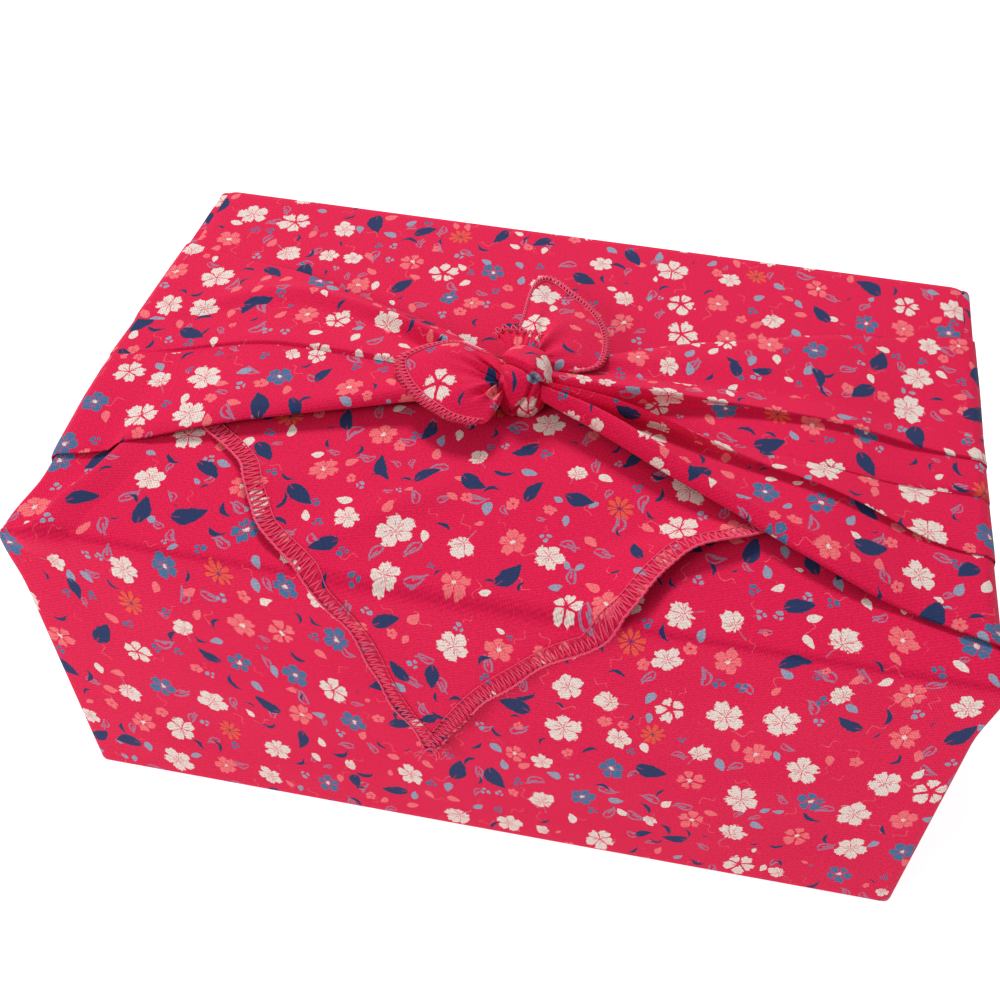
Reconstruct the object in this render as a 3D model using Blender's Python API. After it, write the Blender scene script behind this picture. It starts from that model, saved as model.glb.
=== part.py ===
# Furoshiki wrap: one overlocked square of printed cloth folded round a shoebox-sized gift,
# its front corner folded up first, its back corner laid over the top with its tip hanging down the front,
# and its two side corners brought over the ends, gathered and tied in a square knot.
# The gift is not built: the cloth is one thin hollow wrapping. Metres, +Z up, front towards -Y,
# origin in the middle of the flat underside.

import math

import bmesh
import bpy
import numpy as np
from mathutils import Vector

# driving sizes of the wrapped box
WIDTH = 0.290
DEPTH = 0.1866
HEIGHT = 0.130
EDGE_ROUND = 0.006
SHEET = 0.0018
LAYER_GAP = 0.0008
EMBED = 0.0010

# how the walls stand out of flat, and the two soft front corners
WALL_BELLY = 0.0012
LEFT_CORNER_DROP = 0.0045
RIGHT_EAR = 0.0032

# the over layer: the back corner of the cloth, over the top and down the front
# its columns as parts of the way across, close together where the cloth turns over the end edges
HALF_COLUMNS = (0.0, 0.0144, 0.0252, 0.0359, 0.0458, 0.080, 0.120, 0.170, 0.235, 0.300, 0.370, 0.440)
HEM_BLEND = 0.22
END_TURN = (0.139, 0.147)

# rows of the over layer from the back wall to the tip, measured along the cloth from the middle of the top:
# reach, left and right edge, lift of the left edge, the middle and the right edge off the layer below
OVER_LAYER = (
    {"reach": 0.1120, "left": -0.1530, "right": 0.1530, "lifts": (-0.0010, -0.0010, -0.0010)},
    {"reach": 0.0980, "left": -0.1530, "right": 0.1530, "lifts": (0.0008, 0.0008, 0.0008)},
    {"reach": 0.0955, "left": -0.1530, "right": 0.1530, "lifts": (0.0009, 0.0009, 0.0009)},
    {"reach": 0.0925, "left": -0.1530, "right": 0.1530, "lifts": (0.0010, 0.0010, 0.0010)},
    {"reach": 0.0895, "left": -0.1530, "right": 0.1530, "lifts": (0.0009, 0.0009, 0.0009)},
    {"reach": 0.0865, "left": -0.1530, "right": 0.1530, "lifts": (0.0008, 0.0008, 0.0008)},
    {"reach": 0.0220, "left": -0.1530, "right": 0.1530, "lifts": (0.0008, 0.0008, 0.0008)},
    {"reach": 0.0080, "left": -0.1480, "right": 0.1330, "lifts": (0.0008, 0.0008, 0.0008)},
    {"reach": -0.0200, "left": -0.1210, "right": 0.1060, "lifts": (0.0008, 0.0008, 0.0008)},
    {"reach": -0.0430, "left": -0.0994, "right": 0.0860, "lifts": (0.0010, 0.0008, 0.0012)},
    {"reach": -0.0490, "left": -0.0910, "right": 0.0800, "lifts": (0.0016, 0.0008, 0.0022)},
    {"reach": -0.0550, "left": -0.0845, "right": 0.0730, "lifts": (0.0022, 0.0008, 0.0032)},
    {"reach": -0.0630, "left": -0.0802, "right": 0.0590, "lifts": (0.0026, 0.0009, 0.0040)},
    {"reach": -0.0720, "left": -0.0748, "right": 0.0515, "lifts": (0.0020, 0.0010, 0.0042)},
    {"reach": -0.0800, "left": -0.0695, "right": 0.0475, "lifts": (0.0016, 0.0011, 0.0038)},
    {"reach": -0.0870, "left": -0.0610, "right": 0.0443, "lifts": (0.0014, 0.0012, 0.0034)},
    {"reach": -0.0905, "left": -0.0560, "right": 0.0422, "lifts": (0.0014, 0.0013, 0.0032)},
    {"reach": -0.0940, "left": -0.0518, "right": 0.0392, "lifts": (0.0014, 0.0014, 0.0030)},
    {"reach": -0.0975, "left": -0.0490, "right": 0.0360, "lifts": (0.0015, 0.0015, 0.0031)},
    {"reach": -0.1060, "left": -0.0430, "right": 0.0255, "lifts": (0.0015, 0.0017, 0.0034)},
    {"reach": -0.1190, "left": -0.0365, "right": 0.0140, "lifts": (0.0016, 0.0020, 0.0038)},
    {"reach": -0.1320, "left": -0.0325, "right": 0.0035, "lifts": (0.0018, 0.0024, 0.0040)},
    {"reach": -0.1490, "left": -0.0255, "right": -0.0060, "lifts": (0.0024, 0.0030, 0.0038)},
    {"reach": -0.1610, "left": -0.0190, "right": -0.0118, "lifts": (0.0032, 0.0036, 0.0038)},
    {"reach": -0.1660, "left": -0.0172, "right": -0.0146, "lifts": (0.0040, 0.0042, 0.0044)},
)

# the gathered side corners, at stations measured along the cloth from the middle of the top to the foot
# of the end wall; each fold has its place across and the height of its outer surface off the box
STATIONS = (0.007, 0.030, 0.065, 0.105, 0.138, 0.150, 0.200, 0.262)
STATION_STEP = 3
FOLD_STEP = 2
BAND_FLOAT = 0.0032
LEFT_BAND = (
    {"fold": "back edge", "across": (-0.003, 0.016, 0.032, 0.046, 0.053, 0.060, 0.074, 0.090),
     "height": (0.0090, 0.0052, 0.0050, 0.0050, 0.0050, 0.0024, 0.0016, 0.0006)},
    {"fold": "back ridge", "across": (-0.006, 0.012, 0.028, 0.032, 0.015, 0.018, 0.024, 0.034),
     "height": (0.0140, 0.0120, 0.0100, 0.0082, 0.0072, 0.0042, 0.0026, 0.0008)},
    {"fold": "back groove", "across": (-0.008, 0.006, 0.018, 0.017, 0.004, 0.005, 0.006, 0.008),
     "height": (0.0110, 0.0074, 0.0060, 0.0056, 0.0056, 0.0026, 0.0016, 0.0006)},
    {"fold": "middle ridge", "across": (-0.010, 0.001, 0.004, 0.003, -0.009, -0.012, -0.018, -0.028),
     "height": (0.0130, 0.0100, 0.0086, 0.0078, 0.0070, 0.0040, 0.0026, 0.0008)},
    {"fold": "slack", "across": (-0.012, -0.006, -0.011, -0.016, -0.030, -0.034, -0.042, -0.052),
     "height": (0.0110, 0.0074, 0.0062, 0.0058, 0.0056, 0.0024, 0.0016, 0.0006)},
    {"fold": "front roll", "across": (-0.014, -0.011, -0.023, -0.037, -0.052, -0.056, -0.064, -0.074),
     "height": (0.0130, 0.0108, 0.0092, 0.0080, 0.0070, 0.0038, 0.0026, 0.0008)},
    {"fold": "front edge", "across": (-0.018, -0.015, -0.029, -0.045, -0.061, -0.066, -0.077, -0.090),
     "height": (0.0080, 0.0060, 0.0052, 0.0050, 0.0050, 0.0024, 0.0016, 0.0006)},
)
RIGHT_BAND = (
    {"fold": "back edge", "across": (0.002, 0.025, 0.038, 0.051, 0.060, 0.066, 0.078, 0.090),
     "height": (0.0090, 0.0056, 0.0050, 0.0050, 0.0050, 0.0024, 0.0016, 0.0006)},
    {"fold": "shoulder", "across": (-0.001, 0.013, 0.021, 0.026, 0.028, 0.030, 0.034, 0.040),
     "height": (0.0110, 0.0084, 0.0066, 0.0060, 0.0058, 0.0028, 0.0018, 0.0006)},
    {"fold": "upper ridge", "across": (-0.003, 0.001, 0.002, 0.001, -0.008, -0.008, -0.005, 0.000),
     "height": (0.0130, 0.0116, 0.0098, 0.0082, 0.0072, 0.0042, 0.0026, 0.0008)},
    {"fold": "upper valley", "across": (-0.005, -0.004, -0.007, -0.013, -0.022, -0.022, -0.019, -0.015),
     "height": (0.0104, 0.0066, 0.0054, 0.0052, 0.0052, 0.0024, 0.0016, 0.0006)},
    {"fold": "middle ridge", "across": (-0.007, -0.008, -0.0195, -0.033, -0.049, -0.050, -0.048, -0.044),
     "height": (0.0130, 0.0124, 0.0112, 0.0094, 0.0078, 0.0046, 0.0030, 0.0008)},
    {"fold": "lower valley", "across": (-0.009, -0.013, -0.030, -0.045, -0.062, -0.064, -0.066, -0.066),
     "height": (0.0104, 0.0070, 0.0054, 0.0052, 0.0052, 0.0024, 0.0016, 0.0006)},
    {"fold": "lower roll", "across": (-0.011, -0.017, -0.038, -0.055, -0.0725, -0.075, -0.078, -0.080),
     "height": (0.0136, 0.0132, 0.0112, 0.0094, 0.0072, 0.0042, 0.0028, 0.0008)},
    {"fold": "front edge", "across": (-0.014, -0.024, -0.043, -0.065, -0.078, -0.080, -0.085, -0.090),
     "height": (0.0080, 0.0060, 0.0052, 0.0050, 0.0050, 0.0024, 0.0016, 0.0006)},
)

# the knot: soft lobes, each with its centre (height above the box) and its half sizes,
# and the turn of cloth that wraps over them
KNOT_LOBES = (
    {"centre": (-0.0090, -0.0130, 0.0098), "half": (0.0062, 0.0078, 0.0080)},
    {"centre": (0.0012, -0.0130, 0.0096), "half": (0.0062, 0.0080, 0.0080)},
    {"centre": (-0.0040, -0.0085, 0.0120), "half": (0.0110, 0.0070, 0.0066)},
)
KNOT_WRAP = (
    {"at": (-0.0150, -0.0080, 0.0080), "radius": 0.0046},
    {"at": (-0.0115, -0.0040, 0.0145), "radius": 0.0056},
    {"at": (-0.0050, -0.0030, 0.0175), "radius": 0.0060},
    {"at": (0.0015, -0.0050, 0.0155), "radius": 0.0056},
    {"at": (0.0055, -0.0085, 0.0100), "radius": 0.0046},
)
WRAP_SIDES = 12

# the two free ends: a root, a direction in plan, and rows from root to tip with the reach of each side
LEFT_TAIL = {
    "root": (-0.010, -0.012), "heading": 174.0,
    "rows": (
        {"along": 0.000, "back": 0.005, "front": 0.006, "height": 0.0125},
        {"along": 0.007, "back": 0.013, "front": 0.016, "height": 0.0140},
        {"along": 0.013, "back": 0.017, "front": 0.019, "height": 0.0150},
        {"along": 0.020, "back": 0.019, "front": 0.017, "height": 0.0146},
        {"along": 0.027, "back": 0.014, "front": 0.012, "height": 0.0130},
        {"along": 0.033, "back": 0.008, "front": 0.006, "height": 0.0120},
        {"along": 0.037, "back": 0.002, "front": 0.001, "height": 0.0115},
    ),
}
RIGHT_TAIL = {
    "root": (0.001, -0.005), "heading": 99.0,
    "rows": (
        {"along": 0.000, "back": 0.004, "front": 0.006, "height": 0.0130},
        {"along": 0.008, "back": 0.005, "front": 0.017, "height": 0.0155},
        {"along": 0.018, "back": 0.006, "front": 0.022, "height": 0.0150},
        {"along": 0.030, "back": 0.006, "front": 0.021, "height": 0.0120},
        {"along": 0.041, "back": 0.005, "front": 0.017, "height": 0.0100},
        {"along": 0.049, "back": 0.004, "front": 0.010, "height": 0.0090},
        {"along": 0.056, "back": 0.001, "front": 0.002, "height": 0.0080},
    ),
}
TAIL_COLUMNS = 6

# the hem of the hidden front corner crosses the top here, leaving two triangular ways into the hollow
HIDDEN_HEM = 0.050
OPENING_MARGIN = 0.0075


def clear_scene():
    for item in list(bpy.data.objects):
        bpy.data.objects.remove(item, do_unlink=True)


def cloth_material():
    material = bpy.data.materials.new("printed_cotton")
    material.use_nodes = True
    shader = material.node_tree.nodes["Principled BSDF"]
    shader.inputs["Base Color"].default_value = (0.71, 0.016, 0.075, 1.0)
    shader.inputs["Roughness"].default_value = 0.85
    shader.inputs["Metallic"].default_value = 0.0
    return material


def ease(value):
    value = min(max(value, 0.0), 1.0)
    return value * value * (3.0 - 2.0 * value)


def refine(places, values, step):
    """A smooth curve through values at places, with step points for each stretch."""
    places = np.array(places, dtype=float)
    values = np.array(values, dtype=float)
    slopes = np.gradient(values, places, axis=0)
    points = []
    for index in range(len(places) - 1):
        span = places[index + 1] - places[index]
        for part in range(step):
            t = part / step
            start = (2 * t**3 - 3 * t**2 + 1) * values[index] + (t**3 - 2 * t**2 + t) * span * slopes[index]
            end = (3 * t**2 - 2 * t**3) * values[index + 1] + (t**3 - t**2) * span * slopes[index + 1]
            points.append(start + end)
    points.append(values[-1])
    return np.array(points)


def drape(x, y, lift):
    """The point that far along the cloth from the middle of the top, lifted off the rounded box."""
    flat = Vector((WIDTH / 2 - EDGE_ROUND, DEPTH / 2 - EDGE_ROUND))
    inner = Vector((min(max(x, -flat.x), flat.x), min(max(y, -flat.y), flat.y), HEIGHT - EDGE_ROUND))
    over = Vector((x - inner.x, y - inner.y, 0.0))
    spread = over.length
    ring = EDGE_ROUND + lift
    if spread < 1e-9:
        return inner + Vector((0.0, 0.0, ring))
    turn = min(spread / EDGE_ROUND, math.pi / 2)
    drop = max(spread - EDGE_ROUND * math.pi / 2, 0.0)
    return inner + over.normalized() * ring * math.sin(turn) + Vector((0.0, 0.0, ring * math.cos(turn) - drop))


def settle(point):
    """The slack of the walls and the two soft front corners, the same for every layer."""
    x, y, z = point
    level = math.sin(math.pi * min(max(z / HEIGHT, 0.0), 1.0))
    belly = WALL_BELLY * level
    y += belly * math.copysign(1.0, y) * ease(abs(y) / 0.07) * math.cos(math.pi * x / WIDTH) ** 2
    x += 0.7 * belly * math.copysign(1.0, x) * ease(abs(x) / 0.12) * math.cos(math.pi * y / DEPTH) ** 2
    near_top = ease((z - 0.100) / 0.028)
    dip = ease((-0.118 - x) / 0.022) * ease((y + 0.093) / 0.045) * ease((-y - 0.010) / 0.030)
    z -= LEFT_CORNER_DROP * near_top * dip
    ear = ease((x - 0.120) / 0.025) * ease((-0.070 - y) / 0.020) * near_top
    x += RIGHT_EAR * ear
    return Vector((x, y, z))


def new_piece(name, mesh, material):
    bmesh.ops.recalc_face_normals(mesh, faces=mesh.faces)
    data = bpy.data.meshes.new(name)
    mesh.to_mesh(data)
    mesh.free()
    data.materials.append(material)
    piece = bpy.data.objects.new(name, data)
    bpy.context.scene.collection.objects.link(piece)
    return piece


def sheet_piece(name, upper, lower, material):
    """A closed solid between an upper and a lower grid of points of the same size."""
    mesh = bmesh.new()
    grids = [[[mesh.verts.new(settle(point)) for point in row] for row in grid] for grid in (upper, lower)]
    rows = len(upper)
    columns = len(upper[0])
    for grid in grids:
        for i in range(rows - 1):
            for j in range(columns - 1):
                mesh.faces.new((grid[i][j], grid[i][j + 1], grid[i + 1][j + 1]))
                mesh.faces.new((grid[i][j], grid[i + 1][j + 1], grid[i + 1][j]))
    rim = [(0, j) for j in range(columns)] + [(i, columns - 1) for i in range(1, rows)]
    rim += [(rows - 1, j) for j in range(columns - 2, -1, -1)] + [(i, 0) for i in range(rows - 2, 0, -1)]
    for here, there in zip(rim, rim[1:] + rim[:1]):
        ring = (grids[0][here[0]][here[1]], grids[0][there[0]][there[1]])
        mesh.faces.new(ring + (grids[1][there[0]][there[1]], grids[1][here[0]][here[1]]))
    bmesh.ops.triangulate(mesh, faces=mesh.faces)
    return new_piece(name, mesh, material)


def box_piece(name, inset, material):
    """The rounded box of the walls, or with an inset the hollow inside them."""
    mesh = bmesh.new()
    bmesh.ops.create_cube(mesh, size=1.0)
    size = Vector((WIDTH - 2 * inset, DEPTH - 2 * inset, HEIGHT - 2 * inset))
    for vert in mesh.verts:
        vert.co = Vector((vert.co.x * size.x, vert.co.y * size.y, vert.co.z * size.z + HEIGHT / 2))
    corners = [edge for edge in mesh.edges]
    radius = EDGE_ROUND - inset
    bmesh.ops.bevel(mesh, geom=corners, offset=radius, segments=3, profile=0.5, affect="EDGES")
    cuts = [(axis, place) for axis, places in enumerate((
        (-0.133, -0.118, -0.060, 0.0, 0.060, 0.120, 0.134),
        (-0.080, -0.066, -0.045, -0.012, 0.035, 0.075),
        (0.045, 0.085, 0.102, 0.114))) for place in places]
    for axis, place in cuts:
        centre = Vector((0.0, 0.0, 0.0))
        normal = Vector((0.0, 0.0, 0.0))
        centre[axis] = place
        normal[axis] = 1.0
        whole = mesh.verts[:] + mesh.edges[:] + mesh.faces[:]
        bmesh.ops.bisect_plane(mesh, geom=whole, plane_co=centre, plane_no=normal)
    for vert in mesh.verts:
        vert.co = settle(vert.co)
    bmesh.ops.triangulate(mesh, faces=mesh.faces)
    return new_piece(name, mesh, material)


def over_layer_piece(material):
    parts = HALF_COLUMNS + (0.5,) + tuple(1.0 - part for part in reversed(HALF_COLUMNS))
    upper = []
    lower = []
    for row in OVER_LAYER:
        lift_left, lift_middle, lift_right = row["lifts"]
        lifts = []
        places = [row["left"] + (row["right"] - row["left"]) * part for part in parts]
        for part, x in zip(parts, places):
            edge_lift = lift_left if part < 0.5 else lift_right
            nearness = ease(1.0 - min(part, 1.0 - part) / HEM_BLEND)
            lift = lift_middle + (edge_lift - lift_middle) * nearness
            turned = ease((abs(x) - END_TURN[0]) / (END_TURN[1] - END_TURN[0]))
            lifts.append(lift + (min(lift, -EMBED) - lift) * turned)
        upper.append([drape(x, row["reach"], lift + SHEET) for x, lift in zip(places, lifts)])
        lower.append([drape(x, row["reach"], lift) for x, lift in zip(places, lifts)])
    return sheet_piece("back_corner", upper, lower, material)


def band_piece(name, side, table, material):
    across = refine(STATIONS, np.array([row["across"] for row in table]).T, STATION_STEP)
    height = refine(STATIONS, np.array([row["height"] for row in table]).T, STATION_STEP)
    along = refine(range(len(STATIONS)), STATIONS, STATION_STEP)
    upper = []
    lower = []
    for row, place in enumerate(along):
        folds = np.arange(len(table))
        fine_y = refine(folds, across[row], FOLD_STEP)
        fine_h = refine(folds, height[row], FOLD_STEP)
        floor = BAND_FLOAT - (BAND_FLOAT + EMBED) * ease((place - 0.137) / 0.013)
        upper.append([drape(side * place, y, h) for y, h in zip(fine_y, fine_h)])
        under = [max(h - SHEET, floor) if place < 0.137 else floor for h in fine_h]
        lower.append([drape(side * place, y, h) for y, h in zip(fine_y, under)])
    return sheet_piece(name, upper, lower, material)


def knot_pieces(material):
    pieces = []
    for number, lobe in enumerate(KNOT_LOBES):
        mesh = bmesh.new()
        bmesh.ops.create_uvsphere(mesh, u_segments=16, v_segments=10, radius=1.0)
        for vert in mesh.verts:
            reach = Vector(vert.co[i] * lobe["half"][i] + lobe["centre"][i] for i in range(3))
            vert.co = reach + Vector((0.0, 0.0, HEIGHT))
        bmesh.ops.triangulate(mesh, faces=mesh.faces)
        pieces.append(new_piece(f"knot_lobe_{number}", mesh, material))
    centres = refine(range(len(KNOT_WRAP)), [row["at"] for row in KNOT_WRAP], 3)
    radii = refine(range(len(KNOT_WRAP)), [row["radius"] for row in KNOT_WRAP], 3)
    mesh = bmesh.new()
    rings = []
    for index, centre in enumerate(centres):
        ahead = centres[min(index + 1, len(centres) - 1)]
        behind = centres[max(index - 1, 0)]
        heading = Vector(ahead - behind).normalized()
        frame_side = heading.cross(Vector((0.0, 1.0, 0.0))).normalized()
        frame_depth = heading.cross(frame_side)
        ring = []
        for k in range(WRAP_SIDES):
            angle = 2 * math.pi * k / WRAP_SIDES
            offset = frame_side * math.cos(angle) + frame_depth * math.sin(angle)
            ring.append(mesh.verts.new(Vector(centre) + offset * radii[index] + Vector((0.0, 0.0, HEIGHT))))
        rings.append(ring)
    for first, second in zip(rings, rings[1:]):
        for k in range(WRAP_SIDES):
            after = (k + 1) % WRAP_SIDES
            mesh.faces.new((first[k], first[after], second[after], second[k]))
    mesh.faces.new(rings[0])
    mesh.faces.new(rings[-1])
    bmesh.ops.triangulate(mesh, faces=mesh.faces)
    pieces.append(new_piece("knot_wrap", mesh, material))
    return pieces


def tail_piece(name, tail, material):
    heading = math.radians(tail["heading"])
    forward = Vector((math.cos(heading), math.sin(heading), 0.0))
    sideways = Vector((forward.y, -forward.x, 0.0))
    root = Vector((*tail["root"], HEIGHT))
    upper = []
    lower = []
    for row in tail["rows"]:
        along, back, front, height = row["along"], row["back"], row["front"], row["height"]
        back_sign = 1.0 if tail["heading"] > 120.0 else -1.0
        upper_row = []
        for j in range(TAIL_COLUMNS + 1):
            part = j / TAIL_COLUMNS
            side = back_sign * (back - (back + front) * part)
            curl = 0.0022 * math.sin(math.pi * (1.0 - part) * 1.5) * min(along / 0.010, 1.0)
            rise = Vector((0.0, 0.0, height + curl))
            upper_row.append(root + forward * along + sideways * side + rise)
        upper.append(upper_row)
        lower.append([point - Vector((0.0, 0.0, SHEET)) for point in upper_row])
    return sheet_piece(name, upper, lower, material)


def opening_piece(name, side, material):
    """The corner of the top that the hidden front corner leaves open."""
    outer_x = WIDTH / 2 - OPENING_MARGIN
    outer_y = DEPTH / 2 - OPENING_MARGIN
    plan = ((outer_x, outer_y), (outer_x - HIDDEN_HEM, outer_y), (outer_x, outer_y - HIDDEN_HEM))
    mesh = bmesh.new()
    low = [mesh.verts.new((side * x, y, HEIGHT - 0.006)) for x, y in plan]
    high = [mesh.verts.new((side * x, y, HEIGHT + LAYER_GAP / 2)) for x, y in plan]
    mesh.faces.new(low)
    mesh.faces.new(high)
    for k in range(3):
        after = (k + 1) % 3
        mesh.faces.new((low[k], low[after], high[after], high[k]))
    return new_piece(name, mesh, material)


def combine(cloth, tool, operation):
    modifier = cloth.modifiers.new(f"{operation.lower()}_{tool.name}", "BOOLEAN")
    modifier.operation = operation
    modifier.solver = "EXACT"
    modifier.object = tool
    tool.hide_render = True
    tool.display_type = "WIRE"


def build():
    clear_scene()
    material = cloth_material()
    cloth = box_piece("furoshiki_cloth", 0.0, material)
    added = [over_layer_piece(material)]
    added.append(band_piece("left_band", -1.0, LEFT_BAND, material))
    added.append(band_piece("right_band", 1.0, RIGHT_BAND, material))
    added.extend(knot_pieces(material))
    added.append(tail_piece("left_tail", LEFT_TAIL, material))
    added.append(tail_piece("right_tail", RIGHT_TAIL, material))
    for piece in added:
        combine(cloth, piece, "UNION")
    combine(cloth, box_piece("hollow", SHEET, material), "DIFFERENCE")
    for side, name in ((-1.0, "left_opening"), (1.0, "right_opening")):
        combine(cloth, opening_piece(name, side, material), "DIFFERENCE")


build()
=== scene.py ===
import math
import bmesh
import bpy
import numpy as np
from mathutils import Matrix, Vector


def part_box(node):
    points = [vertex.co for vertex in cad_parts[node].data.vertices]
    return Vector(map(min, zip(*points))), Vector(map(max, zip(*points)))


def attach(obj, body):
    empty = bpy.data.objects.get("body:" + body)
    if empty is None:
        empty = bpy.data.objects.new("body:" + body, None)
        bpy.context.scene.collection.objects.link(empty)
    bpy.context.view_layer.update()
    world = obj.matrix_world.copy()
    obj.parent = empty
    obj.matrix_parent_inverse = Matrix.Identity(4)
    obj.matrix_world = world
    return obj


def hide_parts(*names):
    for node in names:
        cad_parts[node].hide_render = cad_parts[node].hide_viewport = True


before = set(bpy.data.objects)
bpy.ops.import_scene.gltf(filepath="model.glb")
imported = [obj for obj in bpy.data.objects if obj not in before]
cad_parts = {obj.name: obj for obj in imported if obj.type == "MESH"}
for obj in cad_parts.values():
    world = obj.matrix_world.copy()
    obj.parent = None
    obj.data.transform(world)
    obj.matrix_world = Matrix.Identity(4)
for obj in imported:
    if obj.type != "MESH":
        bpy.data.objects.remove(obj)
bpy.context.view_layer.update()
clothLow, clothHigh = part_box("furoshiki_cloth")
mm = 0.001

# the box that the cloth is folded round, worked out from the solid that it stands for
wrap = {
    "endCloth": 3.2 * mm,      # cloth standing proud of each end
    "frontCloth": 7.3 * mm,    # the hanging tip, proud of the front
    "backCloth": 2.8 * mm,
    "knotRise": 23.5 * mm,
    "edge": 2.6 * mm,          # radius of the folded edges
}
# how the cloth gives: a pair is where it starts to, and over what width
slack = {
    "belly": 1.2 * mm,         # how far the front and back stand out of flat
    "bellyWidth": 70 * mm,
    "endBelly": 0.84 * mm,
    "endBellyWidth": 120 * mm,
    "top": (100 * mm, 28 * mm),     # the corners give only near the top
    "drop": 4.5 * mm,          # the crushed left front corner, to the left of its crease
    "dropAcross": (-1 * mm, 5 * mm),
    "dropForward": (20 * mm, 50 * mm),
    "crease": ((-146, -94), (-135, -90.5), (-132.5, -78), (-128, -66), (-124, -48), (-119, -30)),
    "rightEar": 3.2 * mm,      # what sticks out at the right front corner
    "rightEarAcross": (120 * mm, 25 * mm),
    "rightEarForward": (70 * mm, 20 * mm),
    "leftEar": 2.0 * mm,
    "leftEarAcross": (125 * mm, 20 * mm),
    "leftEarForward": (66 * mm, 20 * mm),
}
creaseLine = np.array(slack["crease"]) * mm
boxWidth = clothHigh.x - clothLow.x - 2 * wrap["endCloth"]
boxDepth = clothHigh.y - clothLow.y - wrap["frontCloth"] - wrap["backCloth"]
boxHeight = clothHigh.z - wrap["knotRise"]
flatX = boxWidth / 2 - wrap["edge"]
flatY = boxDepth / 2 - wrap["edge"]
quarter = wrap["edge"] * math.pi / 2
waveCount = 12                  # plane waves in one field of ripples
weldDistance = 0.002 * mm

# each layer of cloth: its points, its faces and the flat place of each face corner
clothSheets = []
# how much the cloth, pulled on the bias, draws its print out
printEase = {"top": 1.12, "front": 1.3}


def ease(value):
    value = np.clip(value, 0.0, 1.0)
    return value * value * (3 - 2 * value)


def fade(value, start, width):
    # 0 up to the start, and 1 from a width past it
    return ease((value - start) / width)


def lengthAlong(path):
    return np.concatenate([[0], np.cumsum(np.linalg.norm(np.diff(path, axis=0), axis=1))])


def curveThrough(places, values, fine, tautness=1.0):
    # a smooth curve through the values; tautness below 1 makes a crease at its point
    places, values = np.asarray(places, float), np.asarray(values, float)
    shape = (-1,) + (1,) * (values.ndim - 1)
    slopes = np.gradient(values, places, axis=0) * np.reshape(tautness, shape)
    index = np.clip(np.searchsorted(places, fine, side="right") - 1, 0, len(places) - 2)
    span = places[index + 1] - places[index]
    t = ((fine - places[index]) / span).reshape(shape)
    span = span.reshape(shape)
    start = (2 * t**3 - 3 * t**2 + 1) * values[index] + (t**3 - 2 * t**2 + t) * span * slopes[index]
    end = (3 * t**2 - 2 * t**3) * values[index + 1] + (t**3 - t**2) * span * slopes[index + 1]
    return start + end


def ripples(x, y, wavelength, seed):
    # soft uneven waves: a few plane waves in seeded directions
    chance = np.random.default_rng(seed)
    total = np.zeros_like(x)
    for wave in range(waveCount):
        angle = chance.uniform(0, math.pi)
        size = chance.uniform(0.7, 1.5) * wavelength
        phase = chance.uniform(0, 2 * math.pi)
        total += np.sin(2 * math.pi * (x * math.cos(angle) + y * math.sin(angle)) / size + phase)
    return total / math.sqrt(waveCount)


def drapeOver(x, y, lift):
    # x and y along the cloth from the middle of the top, lifted off the rounded box
    innerX, innerY = np.clip(x, -flatX, flatX), np.clip(y, -flatY, flatY)
    overX, overY = x - innerX, y - innerY
    spread = np.hypot(overX, overY)
    safe = np.maximum(spread, 1e-9)
    turn = np.minimum(spread / wrap["edge"], math.pi / 2)
    drop = np.maximum(spread - quarter, 0.0)
    ring = wrap["edge"] + lift
    out = ring * np.sin(turn)
    return np.stack([innerX + overX / safe * out, innerY + overY / safe * out,
                     boxHeight - wrap["edge"] + ring * np.cos(turn) - drop], axis=-1)


def settle(points):
    # slack of the walls and the two soft front corners, the same for every layer
    x, y, z = (points[..., k].copy() for k in range(3))
    level = np.sin(math.pi * np.clip(z / boxHeight, 0, 1))
    swell = level * np.sign(y) * fade(np.abs(y), 0, slack["bellyWidth"])
    y += slack["belly"] * swell * np.cos(math.pi * x / boxWidth) ** 2
    swell = level * np.sign(x) * fade(np.abs(x), 0, slack["endBellyWidth"])
    x += slack["endBelly"] * swell * np.cos(math.pi * y / boxDepth) ** 2
    nearTop = fade(z, *slack["top"])
    leftOfCrease = np.interp(y, creaseLine[:, 1], creaseLine[:, 0]) - x

    def corner(sideways, part):
        return nearTop * fade(sideways, *slack[part + "Across"]) * fade(-y, *slack[part + "Forward"])

    z -= slack["drop"] * corner(leftOfCrease, "drop")
    x += slack["rightEar"] * corner(x, "rightEar")
    x -= slack["leftEar"] * corner(-x, "leftEar")
    return np.stack([x, y, z], axis=-1)


def cornerPlaces(flat):
    # the flat place of each face corner of a grid, with the stretch taken out: (rows, columns, 4, 2)
    x, y = flat[..., 0], flat[..., 1]
    level = np.clip(y, -boxDepth / 2, boxDepth / 2)
    flat = np.stack([x, level / printEase["top"] + (y - level) / printEase["front"]], axis=-1)
    return np.stack([flat[:-1, :-1], flat[:-1, 1:], flat[1:, 1:], flat[1:, :-1]], axis=2)


def addSheet(points, places, flip=False, sheets=clothSheets):
    rows, columns = points.shape[:2]
    index = np.arange(rows * columns).reshape(rows, columns)
    faces = np.stack([index[:-1, :-1], index[:-1, 1:], index[1:, 1:], index[1:, :-1]], axis=2)
    faces, places = faces.reshape(-1, 4), places.reshape(-1, 4, 2)
    if flip:
        faces, places = faces[:, ::-1], places[:, ::-1]
    sheets.append((points.reshape(-1, 3), faces, places))


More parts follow.
